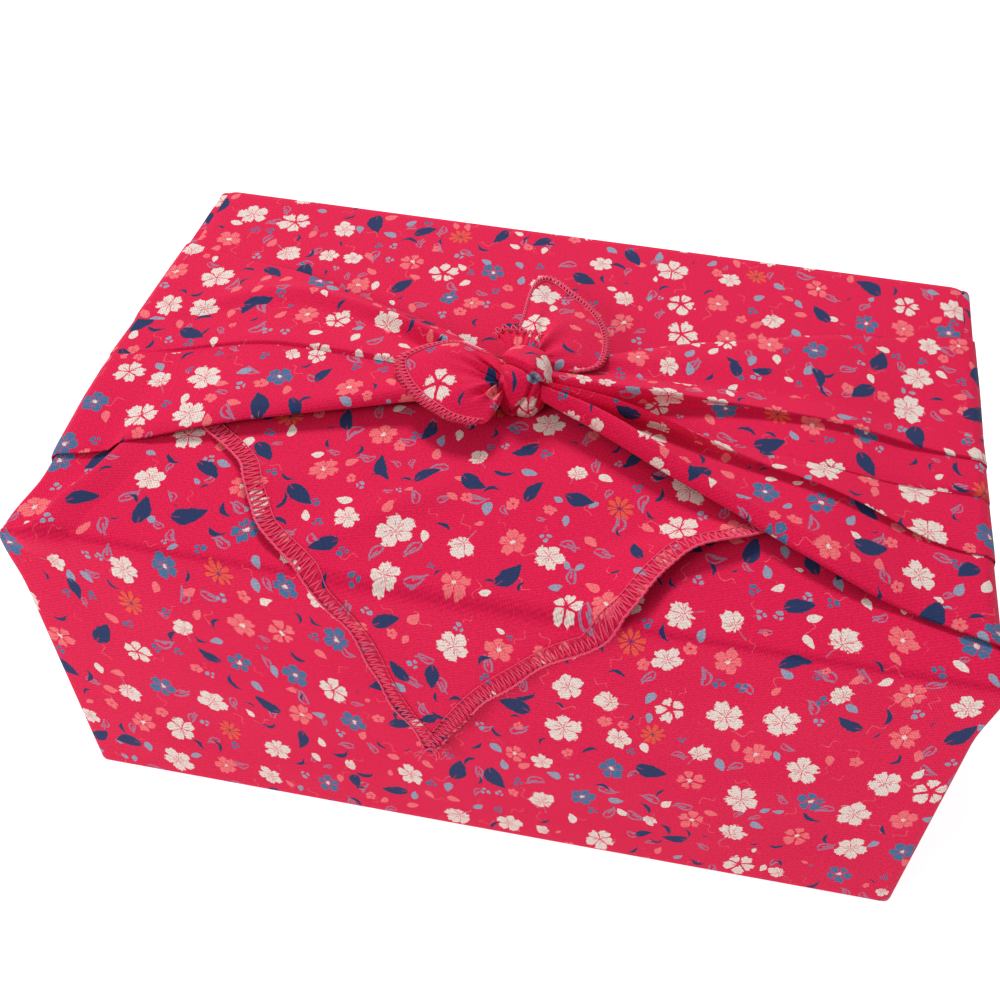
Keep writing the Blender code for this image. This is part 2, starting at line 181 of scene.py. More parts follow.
def awayFrom(points, line):
    # distance to a line of places, and the way from it
    best = np.full(points.shape[:-1], np.inf)
    away = np.zeros_like(points)
    for start, end in zip(line[:-1], line[1:]):
        span = end - start
        part = np.clip(((points - start) @ span) / (span @ span), 0, 1)
        gap = points - (start + part[..., None] * span)
        distance = np.linalg.norm(gap, axis=-1)
        nearer = distance < best
        best, away = np.where(nearer, distance, best), np.where(nearer[..., None], gap, away)
    return best, away


def gridNormals(points):
    normal = np.cross(np.gradient(points, axis=0), np.gradient(points, axis=1))
    return normal / np.maximum(np.linalg.norm(normal, axis=-1, keepdims=True), 1e-12)


def meshPiece(name, sheets):
    # one joined mesh of all the sheets, with a UV map in metres of flat cloth
    points = np.concatenate([sheet[0] for sheet in sheets])
    starts = np.cumsum([0] + [len(sheet[0]) for sheet in sheets[:-1]])
    faces = np.concatenate([sheet[1] + start for sheet, start in zip(sheets, starts)])
    places = np.concatenate([sheet[2] for sheet in sheets])
    data = bpy.data.meshes.new(name)
    data.from_pydata(points.tolist(), [], faces.tolist())
    flat = data.uv_layers.new(name="flatCloth")
    flat.data.foreach_set("uv", places.reshape(-1))
    mesh = bmesh.new()
    mesh.from_mesh(data)
    bmesh.ops.remove_doubles(mesh, verts=mesh.verts, dist=weldDistance)
    bmesh.ops.dissolve_degenerate(mesh, edges=mesh.edges, dist=weldDistance)
    mesh.to_mesh(data)
    mesh.free()
    data.polygons.foreach_set("use_smooth", [True] * len(data.polygons))
    data.update()
    piece = bpy.data.objects.new(name, data)
    bpy.context.scene.collection.objects.link(piece)
    return piece


# the walls, the underside and the layer of cloth that lies under the others on top
shell = {
    "spacing": 3 * mm,
    "edgeRings": 4,
    "wrinkle": 0.35 * mm,
    "wrinkleSize": 55 * mm,
    "calmEdge": 20 * mm,            # the width along an edge over which the wrinkles die out
    "calmFoot": 4 * mm,
    "seed": 3,
    "underPlace": (0.43, 0.11),     # where on the cloth the under layer is cut from
    "backPlace": (0, 0),
    "basePlace": (0.2, 0.5),
}


def sideStops(half):
    turn = quarter / 2
    ring = np.linspace(0, turn, shell["edgeRings"] // 2 + 1)[1:]
    middle = np.linspace(-half, half, round(2 * half / shell["spacing"]) + 1)
    return np.concatenate([-half - ring[::-1], middle, half + ring])


def wallSheet(across, outward, half, reach, offset):
    across, outward = np.array(across, float), np.array(outward, float)
    stops = sideStops(half)
    drop = boxHeight - 2 * wrap["edge"]
    down = np.concatenate([np.linspace(0, quarter, shell["edgeRings"] + 1),
                           quarter + np.linspace(0, drop, round(drop / shell["spacing"]) + 1)[1:]])
    under = np.linspace(0, math.pi / 2, shell["edgeRings"] + 1)[1:]
    s, t = np.meshgrid(stops, np.concatenate([down, quarter + drop + wrap["edge"] * under]))
    inner = np.clip(s, -half, half)
    turn = (s - inner) / wrap["edge"]
    base = across * inner[..., None] + outward * reach
    way = outward * np.cos(turn)[..., None] + across * np.sin(turn)[..., None]
    topTurn = np.minimum(t / wrap["edge"], math.pi / 2)
    footTurn = np.maximum(t - quarter - drop, 0) / wrap["edge"]
    out = wrap["edge"] * np.sin(topTurn) * np.cos(footTurn)
    height = np.where(t < quarter, boxHeight - wrap["edge"] + wrap["edge"] * np.cos(topTurn),
                      boxHeight - wrap["edge"] - (t - quarter))
    height = np.where(footTurn > 0, wrap["edge"] * (1 - np.sin(footTurn)), height)
    plan = base + way * out[..., None]
    flat = across * s[..., None] + outward * (reach + t)[..., None]
    calm = shell["calmEdge"]
    waves = ripples(flat[..., 0], flat[..., 1], shell["wrinkleSize"], shell["seed"]) * shell["wrinkle"]
    waves *= fade(t, 0, calm) * fade(height, shell["calmFoot"], calm) * fade(half - np.abs(s), 0, calm)
    plan = plan + way * waves[..., None]
    points = settle(np.concatenate([plan, height[..., None]], axis=-1))
    addSheet(points, cornerPlaces(flat) + np.array(offset), flip=True)


def levelSheet(height, flip, offset):
    xs = np.linspace(-flatX, flatX, round(2 * flatX / shell["spacing"]) + 1)
    ys = np.linspace(-flatY, flatY, round(2 * flatY / shell["spacing"]) + 1)
    x, y = np.meshgrid(xs, ys)
    points = settle(np.stack([x, y, np.full_like(x, height)], axis=-1))
    addSheet(points, cornerPlaces(np.stack([x, y], axis=-1)) + np.array(offset), flip=flip)


wallSheet((1, 0), (0, -1), flatX, flatY, shell["underPlace"])
wallSheet((0, 1), (1, 0), flatY, flatX, shell["underPlace"])
wallSheet((-1, 0), (0, 1), flatX, flatY, shell["backPlace"])
wallSheet((0, -1), (-1, 0), flatY, flatX, shell["underPlace"])
levelSheet(boxHeight, False, shell["underPlace"])
levelSheet(0.0, True, shell["basePlace"])

# the slack of the under layer, lapped along the crease of the left front corner
lap = {
    "width": 16 * mm, "steps": 44, "columns": 12,
    "height": 2.3 * mm,
    "rim": 0.5 * mm, "rimStart": 0.3 * mm,      # how soon the fold stands up from its rim
    "fadeIn": 0.15, "fadeOut": 0.5,             # parts of its length
    "sink": 0.5 * mm, "rimSink": 0.15 * mm,     # how far its borders go below the under layer
}


def lapSheet():
    stops = np.arange(len(creaseLine))
    line = curveThrough(stops, creaseLine, np.linspace(0, len(stops) - 1, lap["steps"]))
    ahead = np.gradient(line, axis=0)
    right = np.stack([ahead[:, 1], -ahead[:, 0]], axis=-1) / np.linalg.norm(ahead, axis=1, keepdims=True)
    part = np.linspace(0, 1, lap["columns"])[None, :] ** 2
    away = part * lap["width"]
    flat = line[:, None] + right[:, None] * away[..., None]
    along = np.linspace(0, 1, lap["steps"])[:, None]
    stand = (1 - np.exp(-(away + lap["rimStart"]) / lap["rim"])) * (1 - ease(part))
    stand = stand * ease(along / lap["fadeIn"]) * ease((1 - along) / lap["fadeOut"])
    lift = lap["height"] * stand - lap["sink"] * part - lap["rimSink"]
    points = settle(drapeOver(flat[..., 0], flat[..., 1], lift))
    addSheet(points, cornerPlaces(flat) + np.array(shell["underPlace"]))


lapSheet()
print("walls and under layer laid out")

# the back corner laid over the top, its tip hanging down the front
overLayer = {
    # each row in mm: how far it is back from the middle of the top, where its left and right hem are,
    # and how far the left hem, the middle and the right hem are lifted
    "rows": (
        (140, -153, 153, -0.5, -0.5, -0.5),
        (128, -153, 153, -0.3, -0.3, -0.3),
        (112, -153, 153, 0.4, 0.4, 0.4),
        (98, -153, 153, 0.8, 0.8, 0.8),
        (86, -153, 153, 0.8, 0.8, 0.8),
        (22, -153, 153, 0.8, 0.8, 0.8),
        (8, -148, 133, 0.8, 0.8, 0.8),
        (-20, -121, 106, 0.8, 0.8, 0.8),
        (-43, -99.4, 86, 1.0, 0.8, 1.4),
        (-49, -91, 80, 1.6, 0.8, 2.6),
        (-55, -84.5, 73, 2.4, 0.8, 4.0),
        (-63, -80.2, 59, 2.8, 0.9, 5.0),
        (-72, -74.8, 51.5, 2.2, 1.0, 5.0),
        (-80, -69.5, 47.5, 1.6, 1.1, 4.2),
        (-87, -61, 44.3, 1.4, 1.2, 3.6),
        (-90.5, -56, 42.2, 1.4, 1.3, 3.3),
        (-94, -51.8, 39.2, 1.4, 1.4, 3.0),
        (-97.5, -49, 36, 1.5, 1.5, 3.0),
        (-106, -43, 25.5, 1.6, 1.7, 3.2),
        (-119, -36.5, 14, 1.8, 2.0, 3.4),
        (-132, -32.5, 3.5, 2.0, 2.4, 3.6),
        (-149, -25.5, -6, 2.6, 3.0, 3.8),
        (-161, -19, -11.8, 3.4, 3.6, 4.0),
        (-166, -17.2, -14.6, 4.0, 4.2, 4.4),
    ),
    "spacing": 2 * mm,
    "columns": 140,
    "hemCrowding": 0.35,           # how much closer the columns stand near the hems
    "hemBlend": 0.20,              # part of the width over which a hem lifts
    "endTurn": (139 * mm, 8 * mm),
    "endSink": -1.0 * mm,          # where it turns over an end it goes under the bands
    "freeFrom": (35 * mm, 30 * mm),
    "wave": 0.225 * mm,
    "waveSize": 50 * mm,
    "seed": 8,
    "hemFlutter": 0.7 * mm,
    "hemFlutterPitch": 21 * mm,
    "hemFlutterStart": 0.8,
    "softFold": {"along": ((-50, -79), (-22, -52)), "height": 1.1 * mm, "width": 6 * mm},
}


def overLayerSheet():
    rows = np.array(overLayer["rows"])[::-1] * mm
    reach = np.linspace(rows[0, 0], rows[-1, 0], round((rows[-1, 0] - rows[0, 0]) / overLayer["spacing"]))
    values = curveThrough(rows[:, 0], rows[:, 1:], reach)
    part = np.linspace(0, 1, overLayer["columns"])
    part = part + (0.5 - 0.5 * np.cos(math.pi * part) - part) * overLayer["hemCrowding"]
    left, right = values[:, 0:1], values[:, 1:2]
    x = left + (right - left) * part[None, :]
    y = np.repeat(reach[:, None], len(part), axis=1)
    near = ease(1 - np.minimum(part, 1 - part) / overLayer["hemBlend"])[None, :]
    hemLift = np.where(part[None, :] < 0.5, values[:, 2:3], values[:, 4:5])
    lift = values[:, 3:4] + (hemLift - values[:, 3:4]) * near
    flutter = np.sin(2 * math.pi * y / overLayer["hemFlutterPitch"] + overLayer["hemFlutterStart"])
    flutter = flutter * near ** 3 * overLayer["hemFlutter"]
    waves = (ripples(x, y, overLayer["waveSize"], overLayer["seed"]) + 1) * overLayer["wave"]
    lift = lift + fade(-y, *overLayer["freeFrom"]) * (waves + flutter)
    fold = overLayer["softFold"]
    flat = np.stack([x, y], axis=-1)
    distance, away = awayFrom(flat, np.array(fold["along"]) * mm)
    lift = lift + fold["height"] * np.exp(-(distance / fold["width"]) ** 2)
    turned = fade(np.abs(x), *overLayer["endTurn"])
    lift = lift + (np.minimum(lift, overLayer["endSink"]) - lift) * turned
    points = settle(drapeOver(x, y, lift))
    addSheet(points, cornerPlaces(flat))
    # its points, how far each row reaches, where its hems are and how far across each column is
    return points, reach, values[:, :2], part


overPoints, overReach, overHems, overParts = overLayerSheet()
print("over layer laid out")

# the gathered side corners. Each fold line: places across the cloth and heights of the outside of the
# cloth off the box, in mm, at the stations from the middle of the top to the foot of the end wall
bands = {
    "stations": (2, 22, 40, 65, 105, 138, 150, 200, 262),
    "alongStep": 2.2 * mm,
    "foldStep": 4,
    "ridgeTautness": 0.55,
    "grooveTautness": 0.35,
    "endPress": 4.4 * mm,    # how far the pleats are pressed down where they turn over an end
    "pressFrom": (88 * mm, 45 * mm),
    "leastHeight": 0.27,
    "level": 4.4 * mm,       # the height towards which the folds flatten away from the knot
    "flatten": 0.42,
    "looseFrom": (30 * mm, 50 * mm),
    "tuckFrom": (12 * mm, 30 * mm),
    "ripple": 0.22 * mm,
    "rippleSize": 30 * mm,
    "rippleStretch": 0.6,
    "rippleLift": 4 * mm,    # cloth nearer the box than this ripples less
    "place": (0.31, 0.47),   # where on the cloth the first pleat is cut from, and the step to the next
    "placeStep": (0.05, 0.083),
    "right": {
        "side": 1,
        "seed": 21,
        "tucks": (1.0, -0.28, -0.28, -0.28),     # below 0 a pleat's cloth runs back under its ridge
        "across": (
            (2, 15, 24, 33, 46, 55, 58, 70, 84),
            (4, 19.8, 29, 38.3, 51.4, 59.6, 62, 74, 90),
            (1, 13, 19, 24, 30, 34, 36, 40, 46),
            (-1, 7.3, 8.9, 10.2, 10.9, 8, 8, 9, 12),
            (-5, -4.9, -3, -0.6, -0.8, -3.2, -3, -4, -2),
            (-6.2, -7.8, -9, -12, -12.5, -12.5, -12.5, -12, -9),
            (-6.8, -8.6, -11.5, -16.5, -20.1, -20.2, -20, -18, -15),
            (-7.2, -9.3, -13, -19.5, -26.5, -31, -31, -28, -24),
            (-8.2, -10.8, -15.4, -23.2, -34.3, -44.5, -44, -40, -35),
            (-8.8, -12.5, -18.5, -28, -39, -50.5, -50.5, -47, -43),
            (-9.4, -14, -21.5, -32.5, -45.5, -58, -58.5, -56, -53),
            (-10, -15.5, -24.5, -37, -53, -68, -70, -71, -70),
            (-10.8, -18, -27.5, -41, -58, -70.5, -73, -75, -76),
            (-12.5, -22.5, -33, -45.5, -66.6, -77, -80, -83, -88),
            (-11, -19, -29, -42, -62, -72, -75, -79, -84),
        ),
        "height": (
            (6, 3.2, 3, 3, 3, 3, 1, 0.8, 0.2),
            (9, 5, 4.5, 4.2, 4, 4, 2, 1.4, 0.5),
            (12, 8, 6.5, 5.8, 5.4, 5.4, 3, 2, 0.7),
            (11.5, 6.8, 5.4, 5, 5, 5.2, 2.6, 1.6, 0.5),
            (12.5, 12, 11, 9.5, 8, 7, 4.6, 3, 0.9),
            (10.5, 6, 4.6, 4.4, 4.8, 5, 2.5, 1.6, 0.5),
            (10.5, 6.4, 5.2, 5.2, 6, 6.4, 3.6, 2.2, 0.7),
            (10.5, 7, 5.4, 5, 5, 5.4, 2.6, 1.6, 0.5),
            (12.5, 12.5, 12, 10.5, 9, 7.4, 5, 3.2, 0.9),
            (11.5, 9.5, 8, 7, 7, 6.4, 4, 2.4, 0.7),
            (10.5, 5.5, 4.2, 4.2, 4.8, 5.2, 2.4, 1.6, 0.5),
            (11.5, 9, 8.5, 8, 7, 6.4, 4, 2.4, 0.7),
            (13, 13, 12.5, 11, 9, 7.2, 4.8, 3, 0.9),
            (9, 8.5, 8, 6.5, 5, 4.4, 2.6, 1.6, 0.6),
            (6.5, 3.8, 3.4, 3.2, 3.2, 3.2, 1, 0.6, 0.2),
        ),
        # first and last fold line of each pleat, and the ridge that its print is measured from
        "pleats": ((0, 3, 2), (3, 5, 4), (5, 7, 6), (7, 10, 8), (10, 14, 12)),
    },
    "left": {
        "side": -1,
        "seed": 34,
        "tucks": (0.8, 0.12),
        "across": (
            (-1, 8, 17, 26, 41, 49, 53, 66, 84),
            (0, 11.4, 21.3, 30.3, 45.6, 53, 57, 71, 90),
            (-2, 8, 18, 27.5, 38, 40, 43, 52, 62),
            (-4, 1.8, 11.8, 23.8, 28.2, 13.5, 14, 20, 30),
            (-5.5, -0.5, 7.5, 16.4, 18.9, 6, 5, 8, 14),
            (-7, -5.5, -2.8, -0.1, -0.7, -9.6, -11, -12, -8),
            (-9, -9.5, -10, -12, -18, -29, -31, -33, -32),
            (-11.5, -13.8, -17.5, -25, -37, -51.5, -54, -58, -60),
            (-13.5, -15.5, -21, -29.8, -45, -57.5, -59.5, -69, -85),
            (-11.5, -12, -17, -25, -40, -53, -55, -65, -81),
        ),
        "height": (
            (6, 3.4, 3.2, 3, 3, 3, 1, 0.8, 0.2),
            (9, 5.5, 4.8, 4.4, 4, 4, 2, 1.4, 0.5),
            (11, 8, 6.8, 6, 5.2, 5, 2.8, 1.8, 0.6),
            (12.5, 12, 11, 9.5, 8, 6.8, 4.4, 2.8, 0.8),
            (11, 7, 5.2, 5, 5, 5, 2.4, 1.6, 0.5),
            (12.5, 10.5, 9, 8, 7.2, 6.6, 4.2, 2.8, 0.8),
            (11.5, 8.5, 7, 6, 5.6, 5.4, 2.6, 1.8, 0.5),
            (12.5, 11.5, 10, 8.6, 7.4, 6.4, 4, 2.6, 0.8),
            (8.5, 7.5, 6.8, 5.4, 4.6, 4.2, 2.2, 1.4, 0.5),
            (6, 3.8, 3.4, 3.2, 3.2, 3.2, 1, 0.6, 0.2),
        ),
        "pleats": ((0, 4, 3), (4, 6, 5), (6, 9, 7)),
    },
}


def bandSheet(band):
    side = band["side"]
    stations = np.array(bands["stations"]) * mm
    inner, foot = stations[0], stations[-1]
    along = np.linspace(inner, foot, round((foot - inner) / bands["alongStep"]))
    across = curveThrough(stations, np.array(band["across"]).T * mm, along)
    height = curveThrough(stations, np.array(band["height"]).T * mm, along)
    loose = fade(along, *bands["looseFrom"])[:, None]
    height = height + (np.minimum(height, bands["level"]) - height) * bands["flatten"] * loose
    for (first, last, ridge), tuck in zip(band["pleats"], band["tucks"]):
        top, under = across[:, ridge:ridge + 1], slice(ridge + 1, last + 1)
        drawnIn = 1 + (tuck - 1) * fade(along, *bands["tuckFrom"])[:, None]
        across[:, under] = top + (across[:, under] - top) * drawnIn
    pressed = bands["endPress"] * fade(along, *bands["pressFrom"])[:, None]
    height = np.maximum(height - pressed, height * bands["leastHeight"])
    folds = across.shape[1]
    fine = np.linspace(0, folds - 1, (folds - 1) * bands["foldStep"] + 1)
    taut = np.ones(folds)
    for first, last, ridge in band["pleats"]:
        taut[ridge] = bands["ridgeTautness"]
        if last < folds - 1:
            taut[last] = bands["grooveTautness"]
    profile = np.stack([across, height], axis=-1).transpose(1, 0, 2)
    profile = curveThrough(np.arange(folds), profile, fine, taut).transpose(1, 0, 2)
    y, lift = profile[..., 0], profile[..., 1]
    x = side * np.repeat(along[:, None], len(fine), axis=1)
    waves = ripples(x * bands["rippleStretch"], y, bands["rippleSize"], band["seed"]) * bands["ripple"]
    lift = lift + loose * fade(lift, 0, bands["rippleLift"]) * waves
    points = settle(drapeOver(x, y, lift))
    steps = np.hypot(np.diff(y, axis=1), np.diff(lift, axis=1))
    arc = np.concatenate([np.zeros((len(along), 1)), np.cumsum(steps, axis=1)], axis=1)
    places = np.zeros((len(along) - 1, len(fine) - 1, 4, 2))
    for number, (first, last, ridge) in enumerate(band["pleats"]):
        start, end, top = (fold * bands["foldStep"] for fold in (first, last, ridge))
        sign = np.sign(y[-1, end] - y[-1, start])
        flat = np.stack([x, y[:, top:top + 1] + sign * (arc - arc[:, top:top + 1])], axis=-1)
        offset = np.array(bands["place"]) + number * np.array(bands["placeStep"]) * (side, 1)
        places[:, start:end] = cornerPlaces(flat)[:, start:end] + offset
    addSheet(points, places, flip=side < 0)


bandSheet(bands["right"])
bandSheet(bands["left"])
print("side corners gathered")

# the square knot, one tight lump, in mm from the middle of the box's top: its middle and half sizes, then
# the creases where its turns meet, each with the way to its upper turn
knot = {
    "middle": (-4.4, -4.2, 7.6),
    "half": (8.6, 11.4, 10.3),
    "squareness": 2.5,
    "rows": 60,
    "columns": 110,
    "lowest": 2.15,            # how far down its sides go, as an angle from the top
    "ripple": 0.12 * mm,
    "rippleSize": 9 * mm,
    "seed": 77,
    "place": (0.864, 0.915),
    "creaseSteps": 24,
    "stepWidth": 1 * mm,       # over which the cloth steps up to the upper turn at a crease
    "stepReach": 6 * mm,       # how far from the crease the step dies out
    "creases": (
        # the rim of the turn that goes over the top
        {"along": ((-14, 3.5, 6), (-13.1, 2.3, 9), (-10.6, -3.7, 13), (-8.1, -6.1, 15), (-4.6, -8.8, 17),
                   (-1.6, -10.7, 17), (1.1, -11.3, 15.5), (3.7, -10.6, 12.5), (6.2, -9.5, 9)),
         "depth": 1.7, "width": 0.75, "upper": (0.5, 0.75, 0.35), "step": 1.3},
        # the S between the two turns below it
        {"along": ((0.1, -11.2, 16.5), (0.2, -16.0, 15.5), (-0.3, -18.5, 13.0), (-2.0, -19.6, 10.0),
                   (-4.1, -18.7, 6.5), (-6, -17, 3)),
         "depth": 1.5, "width": 0.7, "upper": (-1, 0, 0), "step": 0.9},
        {"along": ((3.2, -11.0, 13.4), (2.5, -14.8, 12.5), (1.9, -18.2, 11), (0.5, -18.6, 8)),
         "depth": 0.7, "width": 0.6, "upper": (-1, 0, 0), "step": 0.2},
        {"along": ((4.1, -10.9, 12.4), (4.6, -14.6, 11), (4.0, -16.7, 8.5), (3, -17, 5)),
         "depth": 0.8, "width": 0.55, "upper": (-1, 0, 0), "step": 0.3},
        {"along": ((4.9, -9.5, 11.5), (5.7, -11.8, 8), (5.8, -13.9, 6), (5, -14.5, 3)),
         "depth": 0.7, "width": 0.55, "upper": (-1, 0, 0), "step": 0.2},
        {"along": ((-11.5, -3.7, 10.4), (-9.0, -9.2, 12.5), (-6.8, -14.7, 12.5), (-6, -17, 9.5)),
         "depth": 0.5, "width": 0.9, "upper": (1, 0, 0), "step": 0.1},
        {"along": ((-12.4, -1.0, 13.0), (-9.5, 1.2, 16.4), (-5.5, 1.0, 18.2), (-1.0, -1.5, 17.6)),
         "depth": 0.35, "width": 1.0, "upper": (0, 1, 0), "step": 0.0},
    ),
}


def knotSheet():
    middle, half = np.array(knot["middle"]) * mm, np.array(knot["half"]) * mm

    def surface(way):
        way = way / np.linalg.norm(way, axis=-1, keepdims=True)
        reach = np.sum(np.abs(way / half) ** knot["squareness"], axis=-1) ** (-1 / knot["squareness"])
        return middle + way * reach[..., None]

    down, turn = np.meshgrid(np.linspace(0.0, knot["lowest"], knot["rows"]),
                             np.linspace(0, 2 * math.pi, knot["columns"]), indexing="ij")
    way = np.stack([np.sin(down) * np.cos(turn), np.sin(down) * np.sin(turn), np.cos(down)], axis=-1)
    lump = surface(way)
    push = np.zeros(lump.shape[:-1])
    for crease in knot["creases"]:
        line = surface(np.array(crease["along"]) * mm - middle)
        line = curveThrough(np.arange(len(line)), line, np.linspace(0, len(line) - 1, knot["creaseSteps"]))
        distance, away = awayFrom(lump, line)
        upper = np.array(crease["upper"]) / np.linalg.norm(crease["upper"])
        side = away @ upper
        push -= crease["depth"] * mm * np.exp(-(distance / (crease["width"] * mm)) ** 2)
        step = crease["step"] * mm * ease(side / knot["stepWidth"])
        push += step * np.exp(-(distance / knot["stepReach"]) ** 2)
    push += ripples(lump[..., 0], lump[..., 1], knot["rippleSize"], knot["seed"]) * knot["ripple"]
    points = lump + way * push[..., None]
    points[..., 2] += boxHeight
    flat = np.stack([down * np.cos(turn), down * np.sin(turn)], axis=-1) * half.mean()
    addSheet(points, cornerPlaces(flat) + np.array(knot["place"]), flip=True)


knotSheet()

# the two free ends, in mm from the middle of the box's top: each a fan of cloth from the knot, with its
# outline from the back hem round the tip and how far each place of the outline turns up
tails = {
    "left": {
        "root": (-9, -11), "rootHeight": 10.5, "height": 11.5,
        "outline": ((-13, -1), (-16, 0.5), (-22, 1.5), (-30, 4.5), (-36, 2.5), (-42, -1), (-47, -6.5),
                    (-42.5, -15.5), (-36, -22), (-30, -26), (-25, -28.5), (-21, -29), (-16, -29),
                    (-12, -27.5), (-9.5, -20)),
        "rise": (1.0, 2.0, 2.0, 1.5, 1.5, 0.5, -1.0, -1.5, -2.0, -2.0, -2.2, -2.2, -2.2, -2.2, -1.5),
        "creases": 6, "creaseDepth": 1.5, "crown": 3.4, "seed": 4, "place": (1.4, 0.2), "flip": True,
        "stitched": (0.10, 0.90),
    },
    "right": {
        "root": (-3, 0), "rootHeight": 13, "height": 9,
        "outline": ((-12, 8), (-10.5, 22), (-11, 40), (-9, 50), (-4, 52.5), (4, 46), (12, 38), (18, 26),
                    (20, 14), (18.5, 5), (11, 0), (4, -1)),
        "rise": (4.0, 4.0, 2.5, 1.0, -1.0, -1.5, -1.0, 0.0, 1.0, 1.5, 2.0, 2.5),
        "creases": 4, "creaseDepth": 0.8, "crown": 2.6, "seed": 9, "place": (1.7, 0.5), "flip": False,
        "stitched": (0.06, 0.92),
    },
    "rings": 26,
    "fanSteps": 72,
    "start": 0.10,                   # how far from the knot's middle a fan begins, as a part of its length
    "creaseFrom": 0.15,
    "creaseFade": (0.12, 0.62),
    "creaseWaves": 3,
    "creaseShare": 1 / 1.7,
    "crownAlong": 0.8, "crownAcross": 0.7,
    "riseCurve": 1.5,
    "ripple": 0.5 * mm, "rippleSize": 20 * mm,
}


def tailSheet(tail):
    outline = np.array(tail["outline"]) * mm
    stops = np.arange(len(outline))
    fine = np.linspace(0, len(outline) - 1, tails["fanSteps"])
    edge = curveThrough(stops, outline, fine)
    rise = curveThrough(stops, np.array(tail["rise"]) * mm, fine)
    root = np.array(tail["root"]) * mm
    part = np.linspace(tails["start"], 1, tails["rings"])
    plan = root + (edge - root)[None, :] * part[:, None, None]
    chance = np.random.default_rng(tail["seed"])
    fan = fine / fine[-1]
    pleat = np.zeros_like(fan)
    for wave in range(tails["creaseWaves"]):
        turns = tail["creases"] * (wave + 2) / 3
        pleat += np.sin(2 * math.pi * turns * fan + chance.uniform(0, 6)) * tails["creaseShare"]
    part = part[:, None]
    depth = tail["creaseDepth"] * mm * ease(part / tails["creaseFrom"])
    depth = depth * (1 - fade(part, *tails["creaseFade"]))
    crown = tail["crown"] * mm * np.sin(math.pi * np.clip(part, 0, 1)) ** tails["crownAlong"]
    z = (tail["rootHeight"] + (tail["height"] - tail["rootHeight"]) * ease(part)) * mm
    z = z + depth * pleat + crown * np.sin(math.pi * fan) ** tails["crownAcross"]
    z = z + rise * ease(part) ** tails["riseCurve"]
    z = z + ripples(plan[..., 0], plan[..., 1], tails["rippleSize"], tail["seed"]) * tails["ripple"] * part
    points = np.concatenate([plan, z[..., None] + boxHeight], axis=-1)
    addSheet(points, cornerPlaces(plan) + np.array(tail["place"]), flip=tail["flip"])
    return points


leftTail = tailSheet(tails["left"])
rightTail = tailSheet(tails["right"])

# a ruffle of hem that sticks out behind the turn of cloth over the knot
frill = {
    "edge": ((-18, 9), (-17, 14), (-13.5, 15.5), (-9.7, 15.2), (-5, 14.5), (-1, 13), (2, 9)),
    "inner": (-7, -2),
    "start": 0.35,
    "innerHeight": 12.5, "height": 13,
    "crown": 1.2 * mm,
    "wave": 1 * mm, "pitch": 3.2 * mm, "waveCurve": 1.5,
    "steps": 90, "rows": 8,
    "place": (2.1, 0.8),
    "stitched": (0.02, 0.98),
}


def frillSheet():
    edge, inner = np.array(frill["edge"]) * mm, np.array(frill["inner"]) * mm
    rim = curveThrough(np.arange(len(edge)), edge, np.linspace(0, len(edge) - 1, frill["steps"]))
    part = np.linspace(0, 1, frill["rows"])[:, None]
    wave = np.sin(2 * math.pi * lengthAlong(rim) / frill["pitch"]) * frill["wave"]
    plan = inner + (rim - inner)[None] * (frill["start"] + (1 - frill["start"]) * part)[..., None]
    height = (frill["innerHeight"] + (frill["height"] - frill["innerHeight"]) * part) * mm
    height = height + wave * part ** frill["waveCurve"] + frill["crown"] * np.sin(math.pi * part)
    points = np.concatenate([plan, height[..., None] + boxHeight], axis=-1)
    addSheet(points, cornerPlaces(plan) + np.array(frill["place"]))
    return points


frillPoints = frillSheet()
print("knot and free ends made")

# overlocked hems: one thread to and fro over the edge, one along its inner side and one along the edge
overlock = {
    "thread": 0.29 * mm,
    "edgeThread": 0.42 * mm,
    "innerThread": 0.174 * mm,
    "rimThread": 0.232 * mm,
    "sides": 5,
    "stand": 0.22 * mm,               # how far a thread's middle is off the cloth
    "turnSteps": 3,                   # points of thread from one turn of a stitch to the next
    # on the hanging corner
    "pitch": 2.3 * mm, "width": 5.4 * mm, "lean": 0.18,
    "over": 0.4 * mm,                 # how far the thread goes out round the edge
    "edgeWobble": 0.25 * mm,
    "hemReach": (-165 * mm, 0.5 * mm),
    "hemSteps": 500, "hemSpacing": 0.9 * mm,
    # bunched up on the free ends and the ruffle
    "loopPitch": 1.7 * mm, "loopWidth": 2.4 * mm, "loopLean": 0.3,
    "loopOver": 0.6 * mm,
    "loopHeight": 0.3 * mm,
    "underLag": 0.4,                  # part of a stitch by which the under side lies behind
    "rimSteps": 300, "rimSpacing": 0.7 * mm,
}
threadSheets = []


def threadTube(path, radius):
    ahead = np.gradient(path, axis=0)
    ahead /= np.maximum(np.linalg.norm(ahead, axis=1, keepdims=True), 1e-12)
    guide = np.where(np.abs(ahead[:, 2:3]) > 0.9, [[1.0, 0.0, 0.0]], [[0.0, 0.0, 1.0]])
    first = np.cross(ahead, guide)
    first /= np.linalg.norm(first, axis=1, keepdims=True)
    second = np.cross(ahead, first)
    angle = np.linspace(0, 2 * math.pi, overlock["sides"] + 1)
    ring = first[:, None] * np.cos(angle)[None, :, None] + second[:, None] * np.sin(angle)[None, :, None]
    points = path[:, None] + ring * radius
    flat = np.stack(np.broadcast_arrays(lengthAlong(path)[:, None], angle[None, :] * radius), axis=-1)
    addSheet(points, cornerPlaces(flat), sheets=threadSheets)


